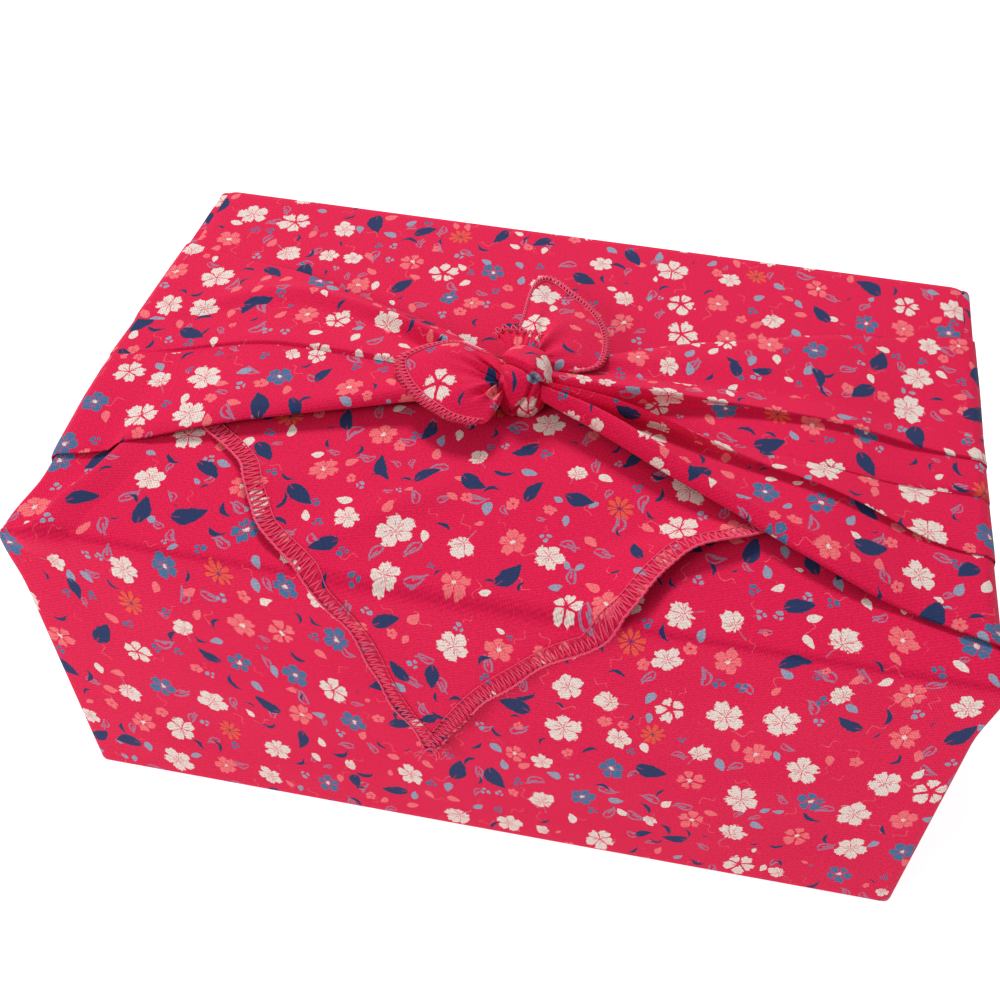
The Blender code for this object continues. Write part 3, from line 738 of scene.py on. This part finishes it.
def onGrid(points, row, column):
    # the place between the points of a sheet
    row = np.clip(row, 0, points.shape[0] - 1.001)
    column = np.clip(column, 0, points.shape[1] - 1.001)
    i, j = row.astype(int), column.astype(int)
    a, b = (row - i)[:, None], (column - j)[:, None]
    return ((points[i, j] * (1 - b) + points[i, j + 1] * b) * (1 - a)
            + (points[i + 1, j] * (1 - b) + points[i + 1, j + 1] * b) * a)


def zigzag(length, pitch, lean):
    # places along and in from the edge of one long back and forth thread
    turns = int(length / pitch)
    along = np.arange(2 * turns) * pitch / 2
    inward = np.tile([0.0, 1.0], turns)
    along = along + inward * lean * pitch
    stops = np.arange(len(along))
    fine = np.linspace(0, stops[-1], stops[-1] * overlock["turnSteps"] + 1)
    return np.interp(fine, stops, along), np.interp(fine, stops, inward)


def stitchHem(points, side):
    # along one hem of the over layer: side is -1 for the left hem and 1 for the right
    numbers = np.arange(len(overReach))
    rows = np.linspace(*np.interp(overlock["hemReach"], overReach, numbers), overlock["hemSteps"])
    edge = 0.0 if side < 0 else points.shape[1] - 1.0
    along = lengthAlong(onGrid(points, rows, np.full(len(rows), edge)))
    normals = gridNormals(points)
    hem = overHems[:, 0 if side < 0 else 1]
    slopes = np.gradient(hem, overReach)

    def place(s, inward):
        # inward in metres, square to the hem: the grid's columns run along the cloth's x
        row = np.interp(s, along, rows)
        slope = np.interp(row, numbers, slopes)
        tilt = np.sqrt(1 + slope ** 2)
        y = np.interp(row, numbers, overReach) + side * slope * inward / tilt
        x = np.interp(row, numbers, hem) - side * inward / tilt
        left, right = (np.interp(y, overReach, overHems[:, k]) for k in (0, 1))
        over = np.clip((x - left) / (right - left), 0, 1)
        column = np.interp(over, overParts, np.arange(len(overParts)))
        row = np.interp(y, overReach, numbers)
        spot, normal = onGrid(points, row, column), onGrid(normals, row, column)
        outward = np.where(normal[:, 2:3] < normal[:, 1:2], -1, 1)
        return spot + normal * outward * overlock["stand"]

    s, inward = zigzag(along[-1], overlock["pitch"], overlock["lean"])
    path = place(s, inward * overlock["width"])
    turns = inward == 0
    inside = place(s[turns], np.full(turns.sum(), 1 * mm))
    path[turns] += (path[turns] - inside) * overlock["over"] / mm
    threadTube(path, overlock["thread"])
    steady = np.linspace(0, along[-1], int(along[-1] / overlock["hemSpacing"]))
    threadTube(place(steady, np.full_like(steady, overlock["width"])), overlock["innerThread"])
    wobble = overlock["edgeWobble"] * np.sin(steady / overlock["pitch"] * 2 * math.pi)
    threadTube(place(steady, np.maximum(wobble, 0)), overlock["edgeThread"])


def stitchRim(points, first, last):
    # loops over the outer rim of a fan of cloth, between two parts of the way round
    steps, outer = points.shape[1] - 1, points.shape[0] - 1.0
    columns = np.linspace(first * steps, last * steps, overlock["rimSteps"])
    along = lengthAlong(onGrid(points, np.full(len(columns), outer), columns))
    spacing = np.linalg.norm(points[-1] - points[-2], axis=-1).mean()
    normals = gridNormals(points)

    def place(s, inward, stand):
        column = np.interp(s, along, columns)
        row = outer - np.maximum(inward, 0) / spacing
        spot, inner = onGrid(points, row, column), onGrid(points, row - 1, column)
        out = (spot - inner) / spacing * np.maximum(-inward, 0)[:, None]
        normal = onGrid(normals, row, column)
        return spot + out + normal * np.sign(normal[:, 2:3]) * stand[:, None]

    s, inward = zigzag(along[-1], overlock["loopPitch"], overlock["loopLean"])
    reach = inward * (overlock["loopWidth"] + overlock["loopOver"]) - overlock["loopOver"]
    lift = overlock["stand"] + overlock["loopHeight"] * np.sin(math.pi * inward)
    threadTube(place(s, reach, lift), overlock["thread"])
    threadTube(place(s + overlock["loopPitch"] * overlock["underLag"], reach, -lift), overlock["thread"])
    steady = np.linspace(0, along[-1], int(along[-1] / overlock["rimSpacing"]))
    reach, lift = (np.full_like(steady, overlock[name]) for name in ("loopWidth", "stand"))
    threadTube(place(steady, reach, lift), overlock["rimThread"])


stitchHem(overPoints, -1)
stitchHem(overPoints, 1)
stitchRim(leftTail, *tails["left"]["stitched"])
stitchRim(rightTail, *tails["right"]["stitched"])
stitchRim(frillPoints, *frill["stitched"])

# loose ends of thread left tangled at the tip: ranges are of half turns and of parts of the reach
tangle = {
    "curls": 5,
    "steps": 50,
    "seed": 12,
    "reach": 5.5 * mm,
    "thread": 0.2175 * mm,
    "turn": (1.2, 2.4), "wide": (0.3, 0.8), "tall": (0.3, 0.7),
    "drift": (-0.8, 1.2), "shift": (-0.3, 0.6),
    "figure": 1.3,                    # above 1 the curls cross themselves
    "driftUp": 0.4,
    "stand": (0.36 * mm, 0.9 * mm),   # least height off the cloth, and what a curl adds to it
}
tip = overPoints[0, overPoints.shape[1] // 2]
chance = np.random.default_rng(tangle["seed"])
for curl in range(tangle["curls"]):
    turn = np.linspace(0, chance.uniform(*tangle["turn"]) * math.pi, tangle["steps"])
    wide, tall = chance.uniform(*tangle["wide"]), chance.uniform(*tangle["tall"])
    start = chance.uniform(0, 2 * math.pi)
    drift = np.linspace(0, 1, tangle["steps"]) * chance.uniform(*tangle["drift"])
    across = (np.cos(turn + start) * wide + drift + chance.uniform(*tangle["shift"])) * tangle["reach"]
    up = (np.sin(turn * tangle["figure"] + start) * tall + drift * tangle["driftUp"]) * tangle["reach"]
    out = -tangle["stand"][0] - tangle["stand"][1] * np.sin(turn + curl) ** 2
    threadTube(tip + np.stack([across, out, up], axis=-1), tangle["thread"])
print("hems overlocked")

# the print: sizes in mm of flat cloth, colours as linear red, green and blue
printLook = {
    "ground": (0.705, 0.0050, 0.063),
    "cream": (0.76, 0.62, 0.57),
    "coral": (0.82, 0.145, 0.165),
    "steel": (0.055, 0.145, 0.29),
    "navy": (0.017, 0.032, 0.108),
    "greyBlue": (0.27, 0.30, 0.42),
    "line": (0.35, 0.165, 0.27),
    "daisy": (0.80, 0.075, 0.045),
    # scattered shapes: one to a cell, how far from the cell's middle, its size, how much smaller the kinds
    # past the change are, and from which kind on a shape is slim
    "motifs": {"Cell": 16.6, "Spread": 0.60, "Size": 7.5, "Smaller": 1.9, "Change": 0.38, "Slim": 0.67},
    "fillers": {"Cell": 8.0, "Spread": 0.8, "Size": 4.0, "Smaller": 1.3, "Change": 0.24, "Slim": 2.0},
    "lines": {"Cell": 10.5, "Spread": 0.85, "Size": 4.2, "Smaller": 0.0, "Change": 0.5, "Slim": 2.0},
    "fillerShift": (127.0, 613.0, 0.0),
    "lineShift": (371.0, 94.0, 0.0),
    "fillerGap": 0.7, "lineGap": 0.3,       # least distance from a large motif
    # which shares of a kind, from 0 to 1, have which colour and shape
    "blooms": (("cream", 0.0, 0.38), ("coral", 0.38, 0.55), ("steel", 0.55, 0.64), ("daisy", 0.64, 0.67)),
    "bells": (0.0, 0.13), "daisies": (0.64, 0.67), "creamHearts": (0.38, 0.64),
    "small": (("navy", "petal", 0.0, 0.24), ("greyBlue", "petal", 0.24, 0.37),
              ("steel", "sprout", 0.37, 0.46), ("greyBlue", "sprout", 0.46, 0.54),
              ("coral", "petal", 0.54, 0.67), ("cream", "petal", 0.67, 0.77),
              ("coral", "bloom", 0.77, 0.85)),
    "slimPetals": (0.0, 0.24), "smallBlooms": (0.77, 0.85),
    "sprigs": (0.0, 0.45), "squiggles": (0.45, 0.9),
    "sprout": {"Petals": 3.0, "Waist": 0.0, "Gap": 0.16, "Lean": 0.3},
    "smallBloom": {"Petals": 5.0, "Waist": 0.55, "Gap": 0.0, "Lean": 0.0},
    # how each shape is drawn, in parts of its own size
    "sprig": {"leaf": 0.40, "leafScale": 1.25, "stem": 0.10, "stemBend": 0.2, "stemShift": 0.05,
              "stemTo": 0.98, "leafFrom": 0.2},
    "squiggle": {"line": 0.075, "turns": 4.6, "chance": 6, "height": 0.26, "to": 0.85, "strength": 0.55},
    "petal": {"width": 0.56, "slimmer": 0.30, "bend": 0.3, "slimBend": 0.5},
    "flower": {"petals": 5, "waist": 0.56, "waistChance": 0.16, "gap": 0.35, "gapFrom": 0.55, "lean": 0.18},
    "bell": {"shift": 0.12, "waist": 0.2, "lean": 0.5, "stalk": 0.05, "stalkBend": 0.2,
             "stalkAlong": (-1.0, -0.45)},
    "daisyPetals": 4, "daisyWaist": 0.40,       # more petals than the others, and slimmer ones
    "leaf": {"width": 0.42, "widthChance": 0.16, "bend": 0.5},
    "waver": 0.9, "waverScale": 0.35,       # how far and how finely every outline wanders
    "ragged": 0.34, "raggedScale": 0.85,
    "crisp": 18,
}


class Field:
    # a value that changes over the cloth, so that a sum of nodes can be written as a sum
    def __init__(self, tree, socket):
        self.tree, self.socket = tree, socket

    def math(self, operation, *others, clamp=False):
        node = self.tree.nodes.new("ShaderNodeMath")
        node.operation, node.use_clamp = operation, clamp
        for slot, value in zip(node.inputs, (self, *others)):
            plug(self.tree, value, slot)
        return Field(self.tree, node.outputs[0])

    def __add__(self, other):
        return self.math("ADD", other)

    def __sub__(self, other):
        return self.math("SUBTRACT", other)

    def __mul__(self, other):
        return self.math("MULTIPLY", other)

    def __truediv__(self, other):
        return self.math("DIVIDE", other)

    def __abs__(self):
        return self.math("ABSOLUTE")

    def __rsub__(self, other):
        return self * -1 + other

    __radd__ = __add__


def plug(tree, value, slot):
    if isinstance(value, Field):
        tree.links.new(value.socket, slot)
    else:
        slot.default_value = value


def within(size, edge):
    # 1 inside the edge, 0 outside, with a crisp border
    return ((size - edge) * -1).math("MULTIPLY", printLook["crisp"], clamp=True)


def chosen(value, low, high):
    # 1 where the value is between the two
    return value.math("COMPARE", (low + high) / 2, (high - low) / 2)


def vectorNode(tree, operation, *values):
    node = tree.nodes.new("ShaderNodeVectorMath")
    node.operation = operation
    slots = (node.inputs["Vector"], node.inputs["Scale"]) if operation == "SCALE" else node.inputs
    for slot, value in zip(slots, values):
        plug(tree, value, slot)
    return Field(tree, node.outputs["Vector"])


def newGroup(name, inputs, outputs):
    tree = bpy.data.node_groups.new(name, "ShaderNodeTree")
    for title, kind in inputs.items():
        tree.interface.new_socket(title, in_out="INPUT", socket_type="NodeSocket" + kind)
    for title, kind in outputs.items():
        tree.interface.new_socket(title, in_out="OUTPUT", socket_type="NodeSocket" + kind)
    entry, leave = tree.nodes.new("NodeGroupInput"), tree.nodes.new("NodeGroupOutput")
    return tree, {title: Field(tree, entry.outputs[title]) for title in inputs}, leave


def placeGroup(tree, group, **values):
    node = tree.nodes.new("ShaderNodeGroup")
    node.node_tree = group
    for title, value in values.items():
        plug(tree, value, node.inputs[title])
    return {socket.name: Field(tree, socket) for socket in node.outputs}


def noiseField(tree, place, scale, detail, output="Fac"):
    node = tree.nodes.new("ShaderNodeTexNoise")
    node.noise_dimensions = "2D"
    node.inputs["Scale"].default_value = scale
    node.inputs["Detail"].default_value = detail
    plug(tree, place, node.inputs["Vector"])
    return Field(tree, node.outputs[output])


def splitPlace(tree, place):
    parts = tree.nodes.new("ShaderNodeSeparateXYZ")
    plug(tree, place, parts.inputs[0])
    return Field(tree, parts.outputs[0]), Field(tree, parts.outputs[1])


def makeScatterGroup():
    # the nearest shape: x and y turned with it and scaled to it, its kind and chance, how far off its rim
    # is in mm and where its middle is
    look = {"room": 0.97, "least": 0.86, "range": 0.16, "slimRim": 0.4}
    tree, given, leave = newGroup(
        "printScatter",
        {"Place": "Vector", "Cell": "Float", "Spread": "Float", "Size": "Float", "Smaller": "Float",
         "Change": "Float", "Slim": "Float"},
        {"X": "Float", "Y": "Float", "Kind": "Float", "Chance": "Float", "Rim": "Float", "Centre": "Vector"})
    scaled = vectorNode(tree, "SCALE", given["Place"], given["Cell"].math("POWER", -1.0))
    cells = tree.nodes.new("ShaderNodeTexVoronoi")
    rooms = tree.nodes.new("ShaderNodeTexVoronoi")
    rooms.feature = "N_SPHERE_RADIUS"
    for node in (cells, rooms):
        node.voronoi_dimensions = "2D"
        node.inputs["Scale"].default_value = 1
        plug(tree, scaled, node.inputs["Vector"])
        plug(tree, given["Spread"], node.inputs["Randomness"])
    chances = tree.nodes.new("ShaderNodeSeparateColor")
    tree.links.new(cells.outputs["Color"], chances.inputs[0])
    turn, kind, chance = (Field(tree, socket) for socket in chances.outputs)
    away = vectorNode(tree, "SUBTRACT", scaled, Field(tree, cells.outputs["Position"]))
    x, y = splitPlace(tree, vectorNode(tree, "SCALE", away, given["Cell"]))
    cosine, sine = ((turn * (2 * math.pi)).math(wave) for wave in ("COSINE", "SINE"))
    size = given["Size"] - given["Smaller"] * kind.math("GREATER_THAN", given["Change"])
    room = Field(tree, rooms.outputs["Radius"]) * given["Cell"] * look["room"]
    size = size.math("MINIMUM", room) * (chance * look["range"] + look["least"])
    distance = Field(tree, cells.outputs["Distance"]) * given["Cell"]
    plug(tree, (x * cosine + y * sine) / size, leave.inputs["X"])
    plug(tree, (y * cosine - x * sine) / size, leave.inputs["Y"])
    plug(tree, kind, leave.inputs["Kind"])
    plug(tree, chance, leave.inputs["Chance"])
    slim = kind.math("GREATER_THAN", given["Slim"])
    plug(tree, distance - size * (1 - slim * look["slimRim"]), leave.inputs["Rim"])
    plug(tree, vectorNode(tree, "SCALE", Field(tree, cells.outputs["Position"]), given["Cell"]),
         leave.inputs["Centre"])
    return tree


def makeFlowerGroup():
    # petals round a centre, drawn in a circle of radius 1
    look = {
        "round": 0.55,                         # below 1 the petals are broad
        "uneven": 0.07,
        "notch": 0.07, "notchSharpness": 9,    # in the end of each petal
        "dab": 0.10, "dabFrom": 0.13, "dabTo": 0.44, "dabRagged": 2.6,
        "heart": 0.17,
        "vein": 0.09, "veinTo": 0.8,
    }
    tree, given, leave = newGroup(
        "printFlower",
        {"X": "Float", "Y": "Float", "Petals": "Float", "Waist": "Float", "Gap": "Float", "Lean": "Float",
         "Ragged": "Float", "Chance": "Float"},
        {"Petal": "Float", "Stroke": "Float", "Heart": "Float", "Vein": "Float"})
    x, y = given["X"], given["Y"]
    radius = (x * x + y * y).math("SQRT")
    angle = y.math("ARCTAN2", x)
    wave = abs((angle * given["Petals"] * 0.5).math("COSINE"))
    edge = given["Waist"] + (1 - given["Waist"]) * wave.math("POWER", look["round"])
    edge = edge * (1 + given["Lean"] * (angle.math("COSINE") - 1) * 0.5)
    sway = ((angle + given["Chance"] * 20) * 2).math("COSINE") * look["uneven"]
    edge = edge * (1 - look["uneven"] + sway)
    notch = wave.math("POWER", look["notchSharpness"]) * look["notch"] * (given["Chance"] + 0.6)
    edge = edge + given["Ragged"] - notch
    petal = within(radius, edge) * within(given["Gap"], wave * radius)
    strokes = abs((angle * 4 + given["Chance"] * 9).math("SINE")) * radius
    plug(tree, petal, leave.inputs["Petal"])
    dabEnd = given["Ragged"] * look["dabRagged"] + look["dabTo"]
    dabs = within(strokes, look["dab"]) * within(radius, dabEnd)
    plug(tree, dabs * within(look["dabFrom"] - given["Ragged"], radius), leave.inputs["Stroke"])
    plug(tree, within(radius, given["Ragged"] + look["heart"]), leave.inputs["Heart"])
    vein = within(wave * radius, look["vein"]) * within(radius, look["veinTo"])
    plug(tree, vein, leave.inputs["Vein"])
    return tree


def makeLeafGroup():
    # a pointed leaf or petal along X, from -1 to 1, solid and as an outline
    look = {
        "bendFrom": 0.35,
        "point": 0.8, "forward": 0.35,     # below 1 the ends are rounder; above 0 the far end is fuller
        "ragged": 0.32,
        "solidTo": 0.97, "outlineTo": 0.95, "outline": 0.14,
        "slit": 0.045, "slitFrom": 0.45, "slitFade": 8.0,
    }
    tree, given, leave = newGroup(
        "printLeaf", {"X": "Float", "Y": "Float", "Width": "Float", "Bend": "Float", "Ragged": "Float"},
        {"Solid": "Float", "Outline": "Float", "Slit": "Float"})
    x = given["X"]
    across = abs(given["Y"] + given["Bend"] * (x * x - look["bendFrom"]))
    belly = (1 - x * x).math("MAXIMUM", 0.0).math("POWER", look["point"]) * (1 + x * look["forward"])
    edge = given["Width"] * belly + given["Ragged"] * look["ragged"]
    outline = within(abs(across - edge), look["outline"]) * within(abs(x), look["outlineTo"])
    slit = (x - look["slitFrom"]).math("MULTIPLY", look["slitFade"], clamp=True)
    plug(tree, within(across, edge) * within(abs(x), look["solidTo"]), leave.inputs["Solid"])
    plug(tree, outline, leave.inputs["Outline"])
    plug(tree, within(across, look["slit"]) * slit, leave.inputs["Slit"])
    return tree


def paint(tree, under, colour, mask):
    mix = tree.nodes.new("ShaderNodeMix")
    mix.data_type = "RGBA"
    plug(tree, mask, mix.inputs[0])
    for value, slot in ((under, mix.inputs[6]), (colour, mix.inputs[7])):     # a Mix node's two colours
        if isinstance(value, Field):
            plug(tree, value, slot)
        else:
            slot.default_value = (*value, 1)
    return Field(tree, mix.outputs[2])


def makePrintGroup():
    # the whole printed design over flat cloth: Place in mm
    tree, given, leave = newGroup("floralPrint", {"Place": "Vector"}, {"Color": "Color"})
    look = printLook
    scatter, flower, leaf = makeScatterGroup(), makeFlowerGroup(), makeLeafGroup()
    waver = noiseField(tree, given["Place"], look["waverScale"], 2.0, "Color")
    waver = vectorNode(tree, "SUBTRACT", waver, (0.5, 0.5, 0.5))
    place = vectorNode(tree, "ADD", given["Place"], vectorNode(tree, "SCALE", waver, look["waver"]))
    rough = (noiseField(tree, given["Place"], look["raggedScale"], 1.0) - 0.5) * look["ragged"]

    def scattered(shapes, shift, gap):
        # the nearest of these shapes, and 1 where it is clear of the large motifs
        found = placeGroup(tree, scatter, Place=vectorNode(tree, "ADD", place, shift), **shapes)
        centre = vectorNode(tree, "SUBTRACT", found["Centre"], shift)
        rim = placeGroup(tree, scatter, Place=centre, **look["motifs"])["Rim"]
        return found, rim.math("GREATER_THAN", gap)

    # fine line drawing first, so that everything else lies over it
    drawn, clear = scattered(look["lines"], look["lineShift"], look["lineGap"])
    x, y, chance, shape = drawn["X"], drawn["Y"], drawn["Chance"], look["sprig"]
    outline = placeGroup(tree, leaf, X=x * shape["leafScale"], Y=y * shape["leafScale"],
                         Width=shape["leaf"], Bend=chance - 0.5, Ragged=0.0)["Outline"]
    stem = within(abs(y + x * x * shape["stemBend"] + shape["stemShift"]), shape["stem"])
    stem = stem * within(abs(x), shape["stemTo"]) * x.math("LESS_THAN", shape["leafFrom"])
    sprig = outline.math("MAXIMUM", stem) * chosen(drawn["Kind"], *look["sprigs"]) * clear
    shape = look["squiggle"]
    curl = abs(y - (x * shape["turns"] + chance * shape["chance"]).math("SINE") * shape["height"])
    squiggle = within(curl, shape["line"]) * within(abs(x), shape["to"])
    squiggle = squiggle * chosen(drawn["Kind"], *look["squiggles"]) * clear
    colour = paint(tree, look["ground"], look["line"], sprig)
    colour = paint(tree, colour, look["coral"], squiggle * shape["strength"])

    # small fillers, left out where a large motif lies
    small, clear = scattered(look["fillers"], look["fillerShift"], look["fillerGap"])
    x, y, kind, chance, shape = small["X"], small["Y"], small["Kind"], small["Chance"], look["petal"]
    slim = chosen(kind, *look["slimPetals"])
    bend = slim * shape["slimBend"] + (chance - 0.5) * shape["bend"]
    petal = placeGroup(tree, leaf, X=x, Y=y, Width=shape["width"] - slim * shape["slimmer"],
                       Bend=bend, Ragged=rough)["Solid"]
    sprout = placeGroup(tree, flower, X=x, Y=y, Ragged=rough, Chance=chance, **look["sprout"])["Petal"]
    bloom = placeGroup(tree, flower, X=x, Y=y, Ragged=rough, Chance=chance, **look["smallBloom"])
    shapes = {"petal": petal, "sprout": sprout, "bloom": bloom["Petal"]}
    for shade, shape, low, high in look["small"]:
        colour = paint(tree, colour, look[shade], shapes[shape] * chosen(kind, low, high) * clear)
    heart = bloom["Heart"] * chosen(kind, *look["smallBlooms"]) * clear
    colour = paint(tree, colour, look["ground"], heart)

    # large motifs
    big = placeGroup(tree, scatter, Place=place, **look["motifs"])
    x, y, kind, chance, shape = big["X"], big["Y"], big["Kind"], big["Chance"], look["flower"]
    bell, daisy = chosen(kind, *look["bells"]), chosen(kind, *look["daisies"])
    dark = kind.math("GREATER_THAN", look["daisies"][1])
    waist = shape["waist"] + bell * look["bell"]["waist"] - daisy * look["daisyWaist"]
    gap = (chance - shape["gapFrom"]).math("MULTIPLY", shape["gap"], clamp=True) * (1 - bell)
    bloom = placeGroup(tree, flower, X=x + bell * look["bell"]["shift"], Y=y,
                       Petals=daisy * look["daisyPetals"] + shape["petals"],
                       Waist=waist - chance * shape["waistChance"], Gap=gap,
                       Lean=bell * look["bell"]["lean"] + chance * shape["lean"],
                       Ragged=rough, Chance=chance)
    shape = look["bell"]
    stalk = within(abs(y + x * shape["stalkBend"]), shape["stalk"]) * chosen(x, *shape["stalkAlong"]) * bell
    colour = paint(tree, colour, look["line"], stalk)
    for shade, low, high in look["blooms"]:
        colour = paint(tree, colour, look[shade], bloom["Petal"] * chosen(kind, low, high))
    colour = paint(tree, colour, look["cream"], bloom["Heart"] * chosen(kind, *look["creamHearts"]))
    stroked = kind.math("LESS_THAN", look["daisies"][0])
    colour = paint(tree, colour, look["ground"], bloom["Stroke"] * stroked)
    colour = paint(tree, colour, look["navy"], bloom["Vein"] * daisy)
    shape = look["leaf"]
    blade = placeGroup(tree, leaf, X=x, Y=y, Width=shape["width"] + chance * shape["widthChance"],
                       Bend=(chance - 0.5) * shape["bend"], Ragged=rough)
    colour = paint(tree, colour, look["navy"], blade["Solid"] * (1 - blade["Slit"]) * dark)
    plug(tree, colour, leave.inputs["Color"])
    return tree


# the weave: pitch and noise in mm of flat cloth, depths as parts of the height and of the dye
weaveLook = {
    "pitch": 0.85,
    "ribLean": 0.72, "pickLean": 0.35, "pickPitch": 0.83,
    "slubScale": 1.3, "slubDetail": 4.0, "slubBend": 0.5,
    "height": {"rib": 0.5, "pick": 0.3, "slub": 1.2},
    "shade": {"rib": 0.12, "pick": 0.08, "slub": 0.7},
}
clothLook = {"bump": 0.5, "bumpDepth": 0.1 * mm, "roughness": 0.85, "specular": 0.18, "sheen": 0.035}
# spun thread: plies twisting along each stitch, its light colour a painted highlight on the ply crests and
# its dark colour painted shade between them, mixed with random fuzz
threadLook = {
    "light": (0.97, 0.085, 0.20), "dark": (0.70, 0.012, 0.080),
    "plyPitch": 0.7, "plyLean": 1.3, "plyShare": 0.5, "fuzzScale": 2.2, "contrast": 0.75,
    "bump": 0.6, "bumpDepth": 0.1 * mm, "roughness": 0.7, "specular": 0.3, "sheen": 0.15,
}


def makeWeaveGroup():
    # fine twill: Place in mm, the height of the weave and how it lightens and darkens the dye
    look, high, shade = weaveLook, weaveLook["height"], weaveLook["shade"]
    tree, given, leave = newGroup("twillWeave", {"Place": "Vector", "Pitch": "Float"},
                                  {"Height": "Float", "Shade": "Float"})
    x, y = splitPlace(tree, given["Place"])
    slub = noiseField(tree, given["Place"], look["slubScale"], look["slubDetail"])
    rib = (x + y * look["ribLean"] + slub * look["slubBend"]) / given["Pitch"] * (2 * math.pi)
    pick = (y - x * look["pickLean"]) / given["Pitch"] * (2 * math.pi * look["pickPitch"])
    rib, pick = rib.math("SINE"), pick.math("SINE")
    plug(tree, rib * high["rib"] + pick * high["pick"] + slub * high["slub"], leave.inputs["Height"])
    dye = rib * shade["rib"] + pick * shade["pick"] + (slub - 0.5) * shade["slub"] + 1.0
    plug(tree, dye, leave.inputs["Shade"])
    return tree


def startFabric(name):
    # a new material, its nodes and the place on the flat cloth in mm
    material = bpy.data.materials.new(name)
    material.use_nodes = True
    tree = material.node_tree
    flat = tree.nodes.new("ShaderNodeUVMap")
    flat.uv_map = "flatCloth"
    return material, tree, vectorNode(tree, "SCALE", Field(tree, flat.outputs[0]), 1 / mm)


def finishFabric(tree, colour, height, look):
    shader = tree.nodes["Principled BSDF"]
    plug(tree, colour, shader.inputs["Base Color"])
    bump = tree.nodes.new("ShaderNodeBump")
    bump.inputs["Strength"].default_value = look["bump"]
    bump.inputs["Distance"].default_value = look["bumpDepth"]
    plug(tree, height, bump.inputs["Height"])
    tree.links.new(bump.outputs[0], shader.inputs["Normal"])
    shader.inputs["Roughness"].default_value = look["roughness"]
    shader.inputs["Specular IOR Level"].default_value = look["specular"]
    shader.inputs["Sheen Weight"].default_value = look["sheen"]


def clothMaterial(name):
    weave, printed = makeWeaveGroup(), makePrintGroup()
    material, tree, place = startFabric(name)
    woven = placeGroup(tree, weave, Place=place, Pitch=weaveLook["pitch"])
    dyed = vectorNode(tree, "SCALE", placeGroup(tree, printed, Place=place)["Color"], woven["Shade"])
    finishFabric(tree, dyed, woven["Height"], clothLook)
    return material


def threadMaterial(name):
    look = threadLook
    material, tree, place = startFabric(name)
    x, y = splitPlace(tree, place)
    ply = ((x / look["plyPitch"] + y * look["plyLean"]) * (2 * math.pi)).math("SINE") * 0.5 + 0.5
    fuzz = noiseField(tree, place, look["fuzzScale"], 2.0)
    # painted light: the ply crests get the light colour as a painted highlight and the grooves the dark
    # colour as painted shade; the fuzz adds random tone
    plyHighlightAndFuzz = (ply * look["plyShare"] + fuzz).math("MULTIPLY", look["contrast"], clamp=True)
    finishFabric(tree, paint(tree, look["dark"], look["light"], plyHighlightAndFuzz), ply, look)
    return material


clothPrint = clothMaterial("printedCotton")
hemThread = threadMaterial("overlockThread")
print("printed cotton mixed")

cloth = meshPiece("wrapped_cloth", clothSheets)
cloth.data.materials.append(clothPrint)
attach(cloth, "root")
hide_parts("furoshiki_cloth")
threads = meshPiece("overlock_threads", threadSheets)
threads.data.materials.append(hemThread)
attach(threads, "root")

# floor, light and camera
studio = {
    "floorSize": 6,
    "floorColour": (0.45, 0.45, 0.45, 1),
    "floorRoughness": 0.8,
    "floorGlow": 0.86,
    "ambience": 0.38,
    "lamps": {
        "key": {"place": (-0.42, 1.2, 1.5), "size": 0.5, "power": 25.5},
        "fill": {"place": (-0.75, -0.95, 0.80), "size": 0.5, "power": 7.0},
    },
    "cameraPlace": (0.0509, -0.3064, 0.3969),
    "cameraTurn": (41.845, -1.823, 10.497),
    "lens": 43.663,
    "sensor": 36,
    "shift": (-0.048, 0.052),
    "clip": (0.01, 20),
}
white = (1, 1, 1, 1)

bpy.ops.object.select_all(action="DESELECT")
bpy.ops.mesh.primitive_plane_add(size=studio["floorSize"], location=(0, 0, 0))
floor = bpy.context.active_object
floor.name = "floor"
floorFinish = bpy.data.materials.new("paleFloor")
floorFinish.use_nodes = True
floorShader = floorFinish.node_tree.nodes["Principled BSDF"]
floorShader.inputs["Base Color"].default_value = studio["floorColour"]
floorShader.inputs["Roughness"].default_value = studio["floorRoughness"]
floorShader.inputs["Emission Color"].default_value = white
floorShader.inputs["Emission Strength"].default_value = studio["floorGlow"]
floor.data.materials.append(floorFinish)

bpy.context.scene.view_settings.view_transform = "Standard"
world = bpy.data.worlds.new("softRoom")
bpy.context.scene.world = world
world.use_nodes = True
world.node_tree.nodes["Background"].inputs["Color"].default_value = white
world.node_tree.nodes["Background"].inputs["Strength"].default_value = studio["ambience"]

for name, look in studio["lamps"].items():
    lamp = bpy.data.lights.new(name + "Light", "AREA")
    lamp.size = look["size"]
    lamp.energy = look["power"]
    lampObject = bpy.data.objects.new(name + "Light", lamp)
    lampObject.location = look["place"]
    aim = Vector((0, 0, boxHeight / 2)) - lampObject.location
    lampObject.rotation_euler = aim.to_track_quat("-Z", "Y").to_euler()
    bpy.context.scene.collection.objects.link(lampObject)

lens = bpy.data.cameras.new("camera")
lens.lens = studio["lens"]
lens.sensor_width = studio["sensor"]
lens.shift_x, lens.shift_y = studio["shift"]
lens.clip_start, lens.clip_end = studio["clip"]
camera = bpy.data.objects.new("camera", lens)
camera.location = studio["cameraPlace"]
camera.rotation_euler = [math.radians(turn) for turn in studio["cameraTurn"]]
bpy.context.scene.collection.objects.link(camera)
bpy.context.scene.camera = camera
print("floor, light and camera placed")
